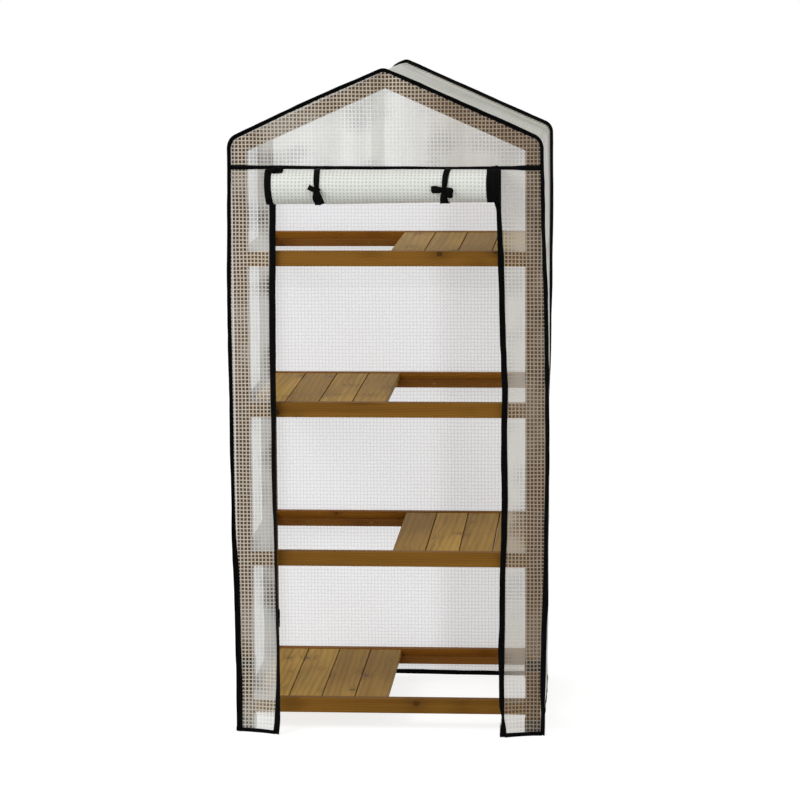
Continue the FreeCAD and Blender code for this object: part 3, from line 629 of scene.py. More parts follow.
def thread_grid():
    """The grid of white threads in the film, from places on the flat cloth."""
    group, given, made = new_group(
        "thread_grid", dict(Cloth="Vector", Across="Float", Down="Float", Thread_share="Float"),
        dict(Threads="Float", Height="Float", Slack="Float", Haze="Float", Creases="Float"))
    cloth = given["Cloth"]
    drift = new_node(group, "TexNoise")
    feed_all(drift.inputs, Vector=cloth, Scale=14.0, Detail=1.0)
    off = vector_calc("SUBTRACT", drift.outputs["Color"], (0.5, 0.5, 0.5))
    axes = parts_of(vector_calc("ADD", cloth, vector_calc("SCALE", off, scale=0.0030)))
    share = times(given["Thread share"], times_plus(speckle(cloth, 160.0, 1.0), 0.36, 0.82))
    edge = rest_of(share)
    lines = []
    rounds = []
    for axis, pitch in ((0, "Across"), (1, "Down")):
        turn = calc("FRACT", calc("DIVIDE", axes[axis], given[pitch]))
        away = times(calc("ABSOLUTE", less(turn, 0.5)), 2.0)
        lines.append(soft_step(away, less(edge, 0.20), plus(edge, 0.18)))
        rounds.append(soft_step(away, edge, 1.0))
    folds = speckle(cloth, (21.0, 1.6, 1.0))
    feed_all(made, Threads=calc("MAXIMUM", *lines), Height=calc("MAXIMUM", *rounds),
             Slack=speckle(cloth, 22.0), Haze=speckle(cloth, 7.0), Creases=soft_step(folds, 0.40, 0.60))
    return group


THREAD_GRID = thread_grid()
# Over this distance to each side of the wood's edge, the film goes from lying on it to hanging free
WOOD_BLUR = 0.0016


def lying_on_wood():
    """Where the film lies on posts, rails and rafters, from its place on the greenhouse."""
    group, given, made = new_group("lying_on_wood", dict(Place="Vector"), dict(On_wood="Float"))
    x, y, z = parts_of(given["Place"])

    def past(value, line):
        return soft_step(value, line - WOOD_BLUR, line + WOOD_BLUR)

    across = calc("ABSOLUTE", x)
    ends = plus(rest_of(past(y, WOOD_FRONT_Y + POST_DEPTH)), past(y, WOOD_BACK_Y - POST_DEPTH))
    below = less(RIDGE_Z, times_plus(across, PITCH_TAN, z))
    wood = times(ends, calc("MAXIMUM", past(across, POST_INNER), rest_of(past(below, RAFTER_DROP))))
    for low, high in RAILS:
        wood = calc("MAXIMUM", wood, times(past(z, low.z), rest_of(past(z, high.z))))
    feed_all(made, On_wood=wood)
    return group


LYING_ON_WOOD = lying_on_wood()
# How much of its cover the film keeps for shadows and for scattered light
FILM_IN_LIGHT = 0.55
FILM_SHINE = 0.30


def film_surface(shader, grid, colour, cover, roughness):
    """What both kinds of film share: raised threads that are a little rougher than the film."""
    feed_all(shader.inputs, Base_Color=colour, Roughness=times_plus(grid["Threads"], 0.18, roughness),
             Specular_IOR_Level=FILM_SHINE, Alpha=cover)
    raise_surface(shader, times_plus(grid["Slack"], 2.2, grid["Height"]), 0.0005, 0.6)


def grid_film(name):
    """Clear film with a white grid: dark and clear on the wood, as painted shade of the wood behind it, and
    pale and hazy where it hangs free.
    """
    material, shader = new_material(name)
    place_at = object_place(material)
    grid = use(THREAD_GRID, Cloth=cloth_place(material), Across=GRID_ACROSS, Down=GRID_DOWN,
               Thread_share=0.29)
    thread = grid["Threads"]
    on_wood = use(LYING_ON_WOOD, Place=place_at)["On wood"]
    axes = parts_of(place_at)
    # Painted shade: on the wood the cells stay dark and clear, as the wood's shade behind the film, hazy
    # only where the film lifts
    lifted = times(soft_step(grid["Haze"], 0.50, 0.64), 0.34)
    haze_and_wood_shade = slide(on_wood, soft_step(grid["Haze"], 0.30, 0.56), lifted)
    # Painted shade: the right side of the film is toned darker, more so low down, with thinner thread cover
    # outside and more cover inside
    right_side_shade = soft_step(axes[0], 0.05, 0.13)
    low = times(right_side_shade, rest_of(soft_step(axes[2], 0.05, 0.45)))
    above_seam = soft_step(axes[2], SEAM_Z - 0.001, SEAM_Z + 0.001)
    faces = parts_of(source(material, "TexCoord", "Normal"))
    inner = source(material, "NewGeometry", "Backfacing")
    free = times(rest_of(inner), times_plus(on_wood, -0.6, 1.0))
    # Painted shade on the outer face where it hangs free: grey-green on the roof, grey on the side walls
    on_roof = times(soft_step(calc("ABSOLUTE", faces[2]), 0.15, 0.75), free, 0.88)
    side_wall_shade = times(soft_step(calc("ABSOLUTE", faces[0]), 0.75, 0.97), free, 0.60)
    # Painted shade in the gable's middle pleat and its creases, above the seam, except on a smooth stretch
    # at the left
    pleat = stretch(axes[0], -0.036, -0.028, -0.006, 0.002)
    smooth = stretch(axes[0], -0.262, -0.240, -0.168, -0.162)
    folded = times(times_plus(pleat, 0.9, times(grid["Creases"], 0.55)), rest_of(smooth), above_seam)

    # Cell colour: dark at low haze, as painted shade on the wood, and pale where the film is hazy
    cells = mixed(haze_and_wood_shade, paint(58, 57, 53), paint(224, 226, 222))
    threads = mixed(on_wood, paint(240, 240, 236), paint(243, 233, 215))
    # Painted shade: seen from within, the threads are darker and bluer than the cells, as against the light
    # behind them
    shaded_inside = mixed(thread, paint(236, 236, 240), paint(203, 205, 218))
    colour = mixed(inner, mixed(thread, cells, threads), shaded_inside)
    # Painted shade multiplied into the colour: on the right, lower down on the right, and in the gable's
    # pleat and creases
    for share, tone in ((times(right_side_shade, 0.9), paint(222, 215, 206)), (low, paint(228, 224, 218)),
                        (folded, paint(222, 221, 216))):
        colour = mixed(share, colour, tone, "MULTIPLY")
    # Painted shade: the side walls and the roof are toned darker
    colour = mixed(side_wall_shade, colour, paint(196, 197, 191))
    colour = mixed(on_roof, colour, mixed(grid["Haze"], paint(172, 175, 160), paint(200, 200, 190)))

    outer_cover = slide(thread, times_plus(haze_and_wood_shade, 0.16, 0.45), times_plus(right_side_shade, -0.15, 0.66))
    inner_cover = times_plus(thread, 0.12, times_plus(right_side_shade, 0.07, 0.36))
    cover = slide(inner, outer_cover, inner_cover)
    glancing = soft_step(source(material, "LayerWeight", "Facing"), 0.45, 0.95)
    cover = slide(times(glancing, times_plus(inner, -0.60, 0.92)), cover, 1.0)
    rays = new_node(material.node_tree, "LightPath").outputs
    lit = calc("MAXIMUM", rays["Is Shadow Ray"], rays["Is Diffuse Ray"])
    cover = times(cover, times_plus(lit, FILM_IN_LIGHT - 1.0, 1.0))
    film_surface(shader, grid, colour, cover, 0.32)
    return material


def wound_film(name, thread_share, cell_cover, thread_cover):
    """The same film in several turns. Its cells are painted grey, as the shade of the turns below showing
    through them.
    """
    material, shader = new_material(name)
    grid = use(THREAD_GRID, Cloth=cloth_place(material), Across=GRID_ACROSS, Down=GRID_DOWN,
               Thread_share=thread_share)
    # Painted shade: grey cells for the turns below
    cells = mixed(grid["Haze"], paint(207, 211, 203), paint(226, 229, 222))
    threads = mixed(grid["Slack"], paint(227, 229, 222), paint(239, 240, 235))
    cover = times_plus(grid["Threads"], thread_cover - cell_cover, cell_cover)
    film_surface(shader, grid, mixed(grid["Threads"], cells, threads), cover, 0.30)
    return material


# Black tapes, ribbon and webbing

def woven_tape():
    """A fine weave for narrow tapes, from metres along and across the tape."""
    group, given, made = new_group(
        "woven_tape", dict(Cloth="Vector", Weave="Float", Dark="Color", Pale="Color"), SURFACE)
    axes = parts_of(given["Cloth"])
    waves = []
    for axis, ratio in ((0, 1.0), (1, 0.8)):
        turn = calc("DIVIDE", axes[axis], times(given["Weave"], ratio))
        waves.append(calc("SINE", times(turn, 2 * math.pi)))
    weave = times_plus(times(*waves), 0.5, 0.5)
    lint = speckle(given["Cloth"], 420.0)
    fade = speckle(given["Cloth"], 45.0)
    share = times_plus(less(lint, 0.45), 0.9, times(weave, 0.30))
    share = times_plus(less(fade, 0.45), 0.8, share, clamp=True)
    feed_all(made, Color=mixed(share, given["Dark"], given["Pale"]), Roughness=times_plus(lint, 0.25, 0.62),
             Height=times_plus(lint, 0.4, weave))
    return group


WOVEN_TAPE = woven_tape()
STITCH_LENGTH = 0.0034


def tape(name, weave, dark, pale, stitch_at=None, shine=0.03):
    """Black woven tape, with a row of stitches at a place across it where it is sewn."""
    material, shader = new_material(name)
    cloth = cloth_place(material)
    woven = use(WOVEN_TAPE, Cloth=cloth, Weave=weave, Dark=dark, Pale=pale)
    colour = woven["Color"]
    height = woven["Height"]
    if stitch_at is not None:
        axes = parts_of(cloth)
        off = calc("ABSOLUTE", less(axes[1], stitch_at))
        line = rest_of(soft_step(off, 0.00020, 0.00045))
        dash = calc("FRACT", calc("DIVIDE", axes[0], STITCH_LENGTH))
        dash = rest_of(soft_step(calc("ABSOLUTE", less(dash, 0.5)), 0.34, 0.42))
        stitch = times(line, dash)
        valley = rest_of(soft_step(off, 0.0003, 0.0014))
        height = times_plus(stitch, 2.6, times_plus(valley, -3.0, height))
        colour = mixed(times(stitch, 0.45), colour, paint(44, 44, 46))
    feed_all(shader.inputs, Base_Color=colour, Roughness=woven["Roughness"], Specular_IOR_Level=shine)
    raise_surface(shader, height, 0.00018, 0.8)
    return material


# Metal and plastic

def worn_surface():
    """Scratches, dust and handling marks for small hard parts."""
    group, given, made = new_group(
        "worn_surface", dict(Place="Vector", Clean="Color", Worn="Color", Base_roughness="Float"), SURFACE)
    fine = speckle(given["Place"], 900.0, 3.0, 0.6)
    broad = speckle(given["Place"], 120.0, 3.0)
    drawn = speckle(given["Place"], (2500.0, 2500.0, 160.0))
    share = times(soft_step(broad, 0.50, 0.72), 0.65)
    share = times_plus(less(drawn, 0.5), 0.35, share, clamp=True)
    rough = times_plus(less(fine, 0.5), 0.2, times_plus(broad, 0.22, given["Base roughness"]))
    feed_all(made, Color=mixed(share, given["Clean"], given["Worn"]), Roughness=rough,
             Height=times_plus(drawn, 0.5, fine))
    return group


WORN_SURFACE = worn_surface()


def hard(name, clean, worn, roughness, metal, depth=0.0001):
    material, shader = new_material(name)
    marks = use(WORN_SURFACE, Place=object_place(material), Clean=clean, Worn=worn,
                Base_roughness=roughness)
    feed_all(shader.inputs, Base_Color=marks["Color"], Roughness=marks["Roughness"], Metallic=metal)
    raise_surface(shader, marks["Height"], depth, 0.5)
    return material


FILM = grid_film("grid_film")
WOUND_FILM = wound_film("wound_grid_film", 0.40, 0.74, 0.93)
BINDING = tape("black_binding", 0.0007, paint(4, 4, 5), paint(17, 17, 18), stitch_at=0.0014)
HEM_TAPE = tape("black_hem_tape", 0.0007, paint(4, 4, 5), paint(16, 16, 17), stitch_at=0.0076)
ZIP_TAPE = tape("black_zip_tape", 0.0009, paint(5, 5, 6), paint(21, 20, 21), stitch_at=0.0022)
ZIP_COIL = tape("black_zip_coil", 0.0030, paint(8, 8, 9), paint(26, 26, 28), shine=0.12)
RIBBON = tape("black_ribbon", 0.0005, paint(5, 6, 5), paint(20, 21, 20), shine=0.04)
WEBBING = tape("black_webbing", 0.0016, paint(5, 5, 7), paint(24, 24, 28), stitch_at=0.0030)
SCREW_STEEL = hard("yellow_zinc_screws", paint(122, 92, 46), paint(78, 56, 30), 0.34, 0.9)
ZIP_METAL = hard("black_zip_metal", paint(18, 18, 20), paint(70, 66, 62), 0.30, 0.6)
FOOT_PLASTIC = hard("black_foot_plastic", paint(20, 20, 22), paint(46, 45, 46), 0.44, 0.0, 0.00015)


# Outline of the cover

WALL_STEPS = 54
ARC_STEPS = 9
SLOPE_STEPS = 30
RIDGE_STEPS = 3


def half_outline(side, half_at, ridge, eave_round, bow):
    """One side of the cover from hem to ridge: points across and up, and outward normals."""
    ridge_x, slack, ridge_round = ridge
    top = RIDGE_Z + slack
    eave_x = half_at(EAVE_TOP)
    turn = math.pi / 2 - ROOF_PITCH
    eave_z = top - (eave_x - side * ridge_x) * PITCH_TAN
    arc_x = eave_x - eave_round
    arc_z = eave_z - eave_round * math.tan(turn / 2)
    places = []
    for i in range(WALL_STEPS):
        z = HEM_Z + (arc_z - HEM_Z) * i / WALL_STEPS
        blend = smooth_share((z - eave_z + EAVE_BLEND_BELOW) / EAVE_BLEND)
        places.append((half_at(z) * (1 - blend) + eave_x * blend, z, 1.0, 0.0))
    for i in range(ARC_STEPS):
        angle = turn * i / ARC_STEPS
        places.append((arc_x + eave_round * math.cos(angle), arc_z + eave_round * math.sin(angle),
                       math.cos(angle), math.sin(angle)))
    start_x = arc_x + eave_round * math.cos(turn)
    start_z = arc_z + eave_round * math.sin(turn)
    end_x = side * ridge_x + ridge_round * PITCH_SIN
    end_z = top - ridge_round * PITCH_SIN * PITCH_TAN
    for i in range(SLOPE_STEPS):
        share = i / SLOPE_STEPS
        rise = bow * math.sin(math.pi * share)
        places.append((start_x + (end_x - start_x) * share + rise * PITCH_SIN,
                       start_z + (end_z - start_z) * share + rise * PITCH_COS, PITCH_SIN, PITCH_COS))
    low = end_z - ridge_round * PITCH_COS
    for i in range(RIDGE_STEPS):
        angle = ROOF_PITCH * (1 - i / RIDGE_STEPS)
        places.append((side * ridge_x + ridge_round * math.sin(angle), low + ridge_round * math.cos(angle),
                       math.sin(angle), math.cos(angle)))
    return [(side * x, z, side * nx, nz) for x, z, nx, nz in places]


def outline(left_at, right_at, ridge, eave_round, bows=(0.0, 0.0)):
    """The cover's edge from the left hem over the ridge to the right hem."""
    left = half_outline(-1, left_at, ridge, eave_round, bows[0])
    right = half_outline(1, right_at, ridge, eave_round, bows[1])
    ridge_x, slack, ridge_round = ridge
    low = RIDGE_Z + slack - ridge_round * PITCH_SIN * PITCH_TAN + ridge_round * (1 - PITCH_COS)
    return left + [(ridge_x, low, 0.0, 1.0)] + right[::-1]


def along(points):
    return lambda z: between(points, z)


def wall_curve(half, bulge):
    return lambda z: half + bulge * math.sin(math.pi * min(1.0, max(0.0, z / WALL_HEIGHT)))


FRONT_EDGE = outline(along(FRONT_LEFT_EDGE), along(FRONT_RIGHT_EDGE), FRONT_RIDGE, FRONT_EAVE_ROUND,
                     (0.0026, 0.0008))
BACK_EDGE = outline(along(BACK_LEFT_EDGE), along(BACK_RIGHT_EDGE), BACK_RIDGE, BACK_EAVE_ROUND)
MIDDLE = outline(wall_curve(LEFT_WALL_HALF, LEFT_WALL_BULGE), wall_curve(RIGHT_WALL_HALF, RIGHT_WALL_BULGE),
                 MIDDLE_RIDGE, FRONT_EAVE_ROUND)


def lean_at(x, z):
    """How far the front edge leans out at a place."""
    share = max(0.0, 1.0 - z / LEAN_HEIGHT)
    return (LEFT_LEAN if x < 0 else RIGHT_LEAN) * share * share


def front_line(edge):
    return [Vector((x, FRONT_Y - lean_at(x, z), z)) for x, z, nx, nz in edge]


def back_line(edge):
    return [Vector((x, BACK_Y, z)) for x, z, nx, nz in edge]


# The wrapped sheet: left side, roof and right side in one length

def column_places():
    """How far back from the front edge each column of the wrapped sheet lies."""
    near = [0.0, 0.0035, 0.009, 0.020, 0.035]
    steps = 30
    inner = [near[-1] + (DEPTH - 2 * near[-1]) * (i + 1) / steps for i in range(steps - 1)]
    return near + inner + [DEPTH - c for c in reversed(near)]


WRAP_COLUMNS = column_places()


def pulled_to_edges(i, x, z, nx, nz, c):
    """How far a point of the sheet is drawn to the two sewn edges, across and up."""
    pull = Vector((0.0, 0.0))
    for edge, away in ((FRONT_EDGE, c), (BACK_EDGE, DEPTH - c)):
        shift = Vector((edge[i][0] - x, edge[i][1] - z))
        inward = shift.x * nx + shift.y * nz < 0
        pull += shift * max(0.0, 1 - away / (PULL_IN if inward else PULL_OUT)) ** 1.5
    return pull


def roof_swell(x, nz, r, y, middle, away):
    """How far the roof film stands out: it sags between the rafters and never lies below them."""
    grip = smooth_share(away / GRIP_WIDTH)
    swell = -ROOF_SAG * middle * smooth_share((abs(x) - 0.02) / 0.08) * nz
    swell += ROOF_RUCK * ruck(3, r, y, 0.16, 0.05) * grip * middle
    swell += 0.5 * ROOF_RUCK * ruck(4, r, y, 0.05, 0.03) * grip
    return max(swell, 0.0) if abs(x) < RIDGE_HALF or away < GRIP_WIDTH else swell


def side_swell(y, z, middle, away):
    """How far a side wall stands out in its ruckles."""
    grip = smooth_share(away / GRIP_WIDTH)
    swell = SIDE_RUCK * ruck(5, y, z, 0.045, 0.42) * grip
    swell += 0.6 * SIDE_RUCK * ruck(6, y, z, 0.020, 0.16) * grip
    return swell + 0.0035 * ruck(8, y, z, 0.30, 0.50) * middle


def wrapped_point(i, r, c):
    x, z, nx, nz = MIDDLE[i]
    y = FRONT_Y + c
    pull = pulled_to_edges(i, x, z, nx, nz, c)
    middle = math.sin(math.pi * c / DEPTH)
    away = min(c, DEPTH - c)
    on_roof = abs(nz) > 0.5
    swell = roof_swell(x, nz, r, y, middle, away) if on_roof else side_swell(y, z, middle, away)
    y -= lean_at(x, z) * max(0.0, 1 - c / 0.05)
    px = x + pull.x + swell * nx
    if not on_roof and WOOD_FRONT_Y - 0.002 < y < WOOD_BACK_Y + 0.002:
        least = WOOD_HALF + WALL_MARGIN + (CAP_MARGIN if z < CAP_HEIGHT else 0.0)
        px = math.copysign(max(abs(px), least), px)
    return Vector((px, y, z + pull.y + swell * nz))


def wrapped_sheet():
    """One length of film from hem over the ridge to hem."""
    run = lengths(back_line(MIDDLE))
    rows = [[wrapped_point(i, r, c) for c in WRAP_COLUMNS] for i, r in enumerate(run)]
    cloth = [[(c, r) for c in WRAP_COLUMNS] for r in run]
    piece = sheet_of("wrapped_film", rows, cloth, turned=True)
    place(piece, FILM, "film", "cover", "left_side_panel", "left_roof_panel", "right_roof_panel",
          "right_side_panel")
    return piece, run[-1]


WRAP, WRAP_LENGTH = wrapped_sheet()


# Flat panels: gable and back

def half_width_at(edge, z, side):
    """Where an edge's outline stands at a height, on one side."""
    line = edge[:len(edge) // 2 + 1] if side < 0 else edge[len(edge) // 2:][::-1]
    for (x0, z0, _, _), (x1, z1, _, _) in zip(line, line[1:]):
        if z0 <= z <= z1:
            share = (z - z0) / max(z1 - z0, 1e-9)
            return x0 + (x1 - x0) * share
    return line[-1][0] if z > line[-1][1] else line[0][0]


def panel_rows(edge, y, low, high, steps, wide, offset_at):
    rows = []
    cloth = []
    for i in range(steps + 1):
        z = low + (high - low) * i / steps
        left = half_width_at(edge, z, -1)
        right = half_width_at(edge, z, 1)
        row = []
        for j in range(wide + 1):
            x = left + (right - left) * j / wide
            row.append(Vector((x, y + offset_at(x, z), z)))
        rows.append(row)
        cloth.append([(p.x, p.z) for p in row])
    return rows, cloth


def gable_sheet():
    """The front of the roof space, sewn to the strips along the cross seam."""
    top = FRONT_EDGE[len(FRONT_EDGE) // 2][1] - PANEL_TOP_GAP

    def offset(x, z):
        return FRONT_RUCK * (0.8 * ruck(11, x, z, 0.06, 0.30) + 0.5 * ruck(12, x, z, 0.018, 0.20))

    rows, cloth = panel_rows(FRONT_EDGE, FRONT_Y, SEAM_Z, top, 36, 96, offset)
    return place(sheet_of("gable_film", rows, cloth), FILM, "film", "cover", "gable_panel")


def back_sheet():
    """The back of the cover in one piece, from its hem to the ridge."""
    top = BACK_EDGE[len(BACK_EDGE) // 2][1] - PANEL_TOP_GAP

    def offset(x, z):
        billow = 0.0028 * math.sin(math.pi * min(1.0, z / 1.3)) * max(0.0, 1 - (x / 0.36) ** 2)
        return billow + FRONT_RUCK * (1.2 * ruck(14, x, z, 0.09, 0.45) + 0.5 * ruck(15, x, z, 0.03, 0.2))

    rows, cloth = panel_rows(BACK_EDGE, BACK_Y, BACK_HEM_Z, top, 110, 70, offset)
    return place(sheet_of("back_film", rows, cloth, turned=True), FILM, "film", "cover", "back_panel")


GABLE_FILM = gable_sheet()
BACK_FILM = back_sheet()


# Strips beside the door, and the zip tapes along them

def forward_at(x, z, edge_x, most):
    """How far forward the strip comes at a half width: none by the post and most at the door."""
    share = smooth_share(max(0.0, FLARE_FROM_X - x) / (FLARE_FROM_X - edge_x) * 0.5) * 2
    flare = max(0.0, 1.0 - (z - HEM_Z) / FLARE_HEIGHT)
    return -most * flare * flare * share


def front_strip(name, side, sewn, most, seed):
    """A strip of film from the corner binding to the door's zip tape."""
    steps = 96
    wide = 18
    rows = []
    cloth = []
    for i in range(steps + 1):
        z = HEM_Z + (SEAM_Z - HEM_Z) * i / steps
        outer = abs(half_width_at(FRONT_EDGE, z, side))
        inner = between(sewn, z) - TAPE_OVERLAP
        row = []
        for j in range(wide + 1):
            x = outer + (inner - outer) * j / wide
            dent = 1.5 * ruck(seed, x, z, 0.05, 0.16) + 0.8 * ruck(seed + 1, x, z, 0.02, 0.06)
            dent *= FRONT_RUCK * math.sin(math.pi * j / wide)
            forward = forward_at(x, z, inner, most) - abs(dent)
            row.append(Vector((side * x, FRONT_Y - lean_at(side, z) + forward, z)))
        rows.append(row)
        cloth.append([(side * (outer - r), z) for r in lengths(row)])
    piece = sheet_of(f"front_{name}_film", rows, cloth, turned=side > 0)
    return place(piece, FILM, "film", "cover", f"front_{name}_panel")


LEFT_STRIP = front_strip("left", -1, LEFT_TAPE_SEWN, LEFT_FLARE, 20)
RIGHT_STRIP = front_strip("right", 1, RIGHT_TAPE_SEWN, RIGHT_FLARE, 23)


def zip_tape(name, side, sewn, free, most, *nodes):
    """A zip tape from hem to seam, turned so that as much of its width shows as in the photo."""
    steps = 150
    stations = []
    for i in range(steps + 1):
        z = HEM_Z - 0.001 + (SEAM_Z - 0.002 - HEM_Z) * i / steps
        x = between(sewn, z)
        seen = min(x - between(free, z), TAPE_WIDTH * 0.99)
        angle = math.acos(seen / TAPE_WIDTH) * (1 - smooth_share((z - TAPE_FLAT_FROM) / TAPE_FLAT_BLEND))
        forward = forward_at(x, z, x - TAPE_OVERLAP, most) - TAPE_IN_FRONT
        stations.append((Vector((side * x, FRONT_Y - lean_at(side, z) + forward, z)),
                         Vector((-side * math.cos(angle), -math.sin(angle), 0.0)),
                         Vector((-side * math.sin(angle), math.cos(angle), 0.0)),
                         1.0 + 0.05 * waver(31 + side, z, 0.05), 1.0))
    piece = sweep(f"{name}_zip_tape", stations, flat_section(TAPE_WIDTH, TAPE_THICK))
    place(piece, ZIP_TAPE, "zip_tape", "cover", *nodes)
    place(teeth(f"{name}_zip_coil", stations, TAPE_WIDTH - COIL_INSET), ZIP_COIL, "zip_tape", "cover")


zip_tape("left", -1, LEFT_TAPE_SEWN, LEFT_TAPE_FREE, LEFT_FLARE, "zip_tapes")
zip_tape("right", 1, RIGHT_TAPE_SEWN, RIGHT_TAPE_FREE, RIGHT_FLARE)


# Bindings over the cover's edges

def fin_tilt(nz, reach, seed, run):
    """How far the folded tape leans to the front or back instead of standing out."""
    on_wall = math.acos(min(1.0, reach / (BINDING_LENGTH + BINDING_START)))
    share = smooth_share(nz / 0.9)
    tilt = on_wall * (1 - share) + math.radians(ROOF_FIN_TILT) * share
    return tilt + math.radians(5 * waver(seed, run, 0.15) + 4 * waver(seed + 1, run, 0.04))


def folded_away(x, nz, outward):
    """1 where the back binding lies folded behind the left roof, just below the ridge."""
    if outward < 0 or nz < 0.5:
        return 0.0
    return 1.0 - smooth_share((x + 0.030) / 0.022)


def edge_binding(name, edge, path, outward, reaches, left_lap, seed, *nodes):
    """Tape folded over the seam between the wrapped sheet and an end panel."""
    away = FRONT_LOOK * -outward
    stations = []
    for (x, z, nx, nz), point, r in zip(edge, path, lengths(path)):
        out = Vector((nx, 0.0, nz))
        lap = between(left_lap, z) if x < 0 else 0.0
        tilt = fin_tilt(nz, between(reaches[x > 0], z) + lap, seed, r)
        tilt += (math.radians(HIDDEN_FIN_TILT) - tilt) * folded_away(x, nz, outward)
        stations.append((point - out * lap + away * lap * 0.3,
                         out * math.cos(tilt) + away * math.sin(tilt),
                         out * -math.sin(tilt) + away * math.cos(tilt),
                         1.0 + 0.05 * waver(seed + 2, r, 0.11) + 0.04 * waver(seed + 3, r, 0.02),
                         1.0 + 0.22 * waver(seed + 4, r, 0.03)))
    piece = sweep(name, stations, flat_section(BINDING_LENGTH, BINDING_THICK, start=BINDING_START))
    return place(piece, BINDING, "binding", "cover", *nodes)


FRONT_BINDING = edge_binding("front_edge_binding", FRONT_EDGE, front_line(FRONT_EDGE), -1,
                             (FRONT_LEFT_REACH, FRONT_RIGHT_REACH), FRONT_LEFT_LAP, 41, "edge_bindings")
BACK_BINDING = edge_binding("back_edge_binding", BACK_EDGE, back_line(BACK_EDGE), 1,
                            (BACK_LEFT_REACH, BACK_RIGHT_REACH), NO_LAP, 47)


def hem_binding(name, line, seed, *nodes, tall=1.0):
    """Tape folded over a bottom edge, as a flat loop that stands on its fold."""
    run = lengths(line)
    path = [p + UP * (0.0006 * abs(waver(seed, r, 0.08))) for p, r in zip(line, run)]
    stations = []
    for point, way, r in zip(path, tangents(path), run):
        stations.append((point, UP, Vector((way.y, -way.x, 0.0)).normalized(),
                         tall + 0.07 * waver(seed + 1, r, 0.06), 1.0 + 0.2 * waver(seed + 2, r, 0.03)))
    piece = sweep(name, stations, flat_section(HEM_TAPE_HEIGHT, HEM_TAPE_THICK))
    return place(piece, HEM_TAPE, "binding", "cover", *nodes)


def strip_hem(side, sewn, most):
    inner = between(sewn, HEM_Z) - TAPE_OVERLAP
    outer = abs(half_width_at(FRONT_EDGE, HEM_Z, side)) + 0.001
    steps = 26
    line = []
    for i in range(steps + 1):
        x = outer + (inner - outer) * i / steps
        forward = forward_at(x, HEM_Z, inner, most) - 0.0004
        line.append(Vector((side * x, FRONT_Y - lean_at(side, HEM_Z) + forward, HEM_TAPE_LOW)))
    return line


def side_hem(side):
    """The bottom edge of a side wall, from the front corner to the back one."""
    wide = len(WRAP_COLUMNS)
    first = 0 if side < 0 else len(WRAP.data.vertices) - wide
    line = [WRAP.data.vertices[first + i].co for i in range(wide)]
    return [Vector((p.x + side * 0.0004, p.y, HEM_TAPE_LOW)) for p in line]


def back_hem():
    across = [i / 40 * 0.3465 for i in range(-40, 41)]
    return [Vector((x, BACK_Y, between(BACK_HEM_LOW, x))) for x in across]


hem_binding("front_left_hem", strip_hem(-1, LEFT_TAPE_SEWN, LEFT_FLARE), 51, "seam_and_hem_bindings")
hem_binding("front_right_hem", strip_hem(1, RIGHT_TAPE_SEWN, RIGHT_FLARE), 54)
hem_binding("left_side_hem", side_hem(-1), 57)
hem_binding("right_side_hem", side_hem(1), 60)
hem_binding("back_hem", back_hem(), 63, tall=1.2)


def cross_seam():
    """The taped seam between the gable and the strips, which the door hangs from."""
    left = half_width_at(FRONT_EDGE, SEAM_Z, -1)
    right = half_width_at(FRONT_EDGE, SEAM_Z, 1)
    steps = 160
    stations = []
    for i in range(steps + 1):
        x = left + (right - left) * i / steps
        rise = between(SEAM_RISE, x) + 0.0005 * waver(71, x, 0.09)
        stations.append((Vector((x, FRONT_Y - TAPE_IN_FRONT, SEAM_Z + rise)), UP, FRONT_LOOK,
                         between(SEAM_SWELL, x) * (1 + 0.08 * waver(73, x, 0.03)),
                         1.0 + 0.2 * waver(74, x, 0.04)))
    section = flat_section(SEAM_TAPE_HEIGHT, BINDING_THICK, start=-SEAM_TAPE_HEIGHT / 2)
    place(sweep("cross_seam_binding", stations, section), BINDING, "binding", "cover")


cross_seam()


# The rolled door

ROLL_INSET = 0.0004
# How far in front of the film the door leaves the seam, and how far below the roll's top
ROLL_START = 0.0030
ROLL_DIP = 0.0036
ROLL_STEPS = 30
ROLL_LEAD = 6


def roll_shrink(x):
    """How much thinner the roll is at a place, as it tapers to the right."""
    return ROLL_TAPER * smooth_share((x + 0.20) / 0.42)


def roll_place(turned, x, inset=0.0):
    """A point of the wound film after a number of turns, with the way out from the middle."""
    angle = 2 * math.pi * turned
    shrink = roll_shrink(x)
    radius = ROLL_RADIUS - shrink - ROLL_INSET - ROLL_TURN_GAP * turned - inset
    radius += 0.0005 * ruck(81, x, turned, 0.10, 0.45) * min(1.0, turned * 3)
    out = Vector((0.0, -math.sin(angle), math.cos(angle)))
    return Vector((x, ROLL_Y, ROLL_Z + shrink)) + out * radius, out


def roll_line(x_at, lift=0.0):
    """The film's way from the seam over the roll and round inwards, at one place across."""
    line = []
    outs = []
    x0 = x_at(0.0)
    for i in range(ROLL_LEAD):
        share = i / ROLL_LEAD
        y = FRONT_Y - ROLL_START + (ROLL_Y - FRONT_Y + ROLL_START) * share
        dip = ROLL_DIP * (1 - share) ** 2
        line.append(Vector((x0, y, ROLL_Z + ROLL_RADIUS - ROLL_INSET - dip + lift)))
        outs.append(UP)
    for i in range(ROLL_TURNS * ROLL_STEPS + 1):
        turned = i / ROLL_STEPS
        x = x_at(turned)
        point, out = roll_place(turned, x, -lift)
        line.append(Vector((x, point.y, point.z)))
        outs.append(out)
    return line, outs


def rolled_film():
    left = LEFT_DOOR_TAPE[1] - TAPE_OVERLAP
    right = RIGHT_DOOR_TAPE[0] + TAPE_OVERLAP
    wide = 64
    rows = []
    cloth = []
    for j in range(wide + 1):
        x = left + (right - left) * j / wide
        line, _ = roll_line(lambda turned: x)
        run = lengths(line)
        rows.append(line)
        cloth.append([(x, -r) for r in run])
    piece = sheet_of("rolled_door_film", rows, cloth)
    return place(piece, WOUND_FILM, "film", "cover", "rolled_door")


ROLLED_FILM = rolled_film()


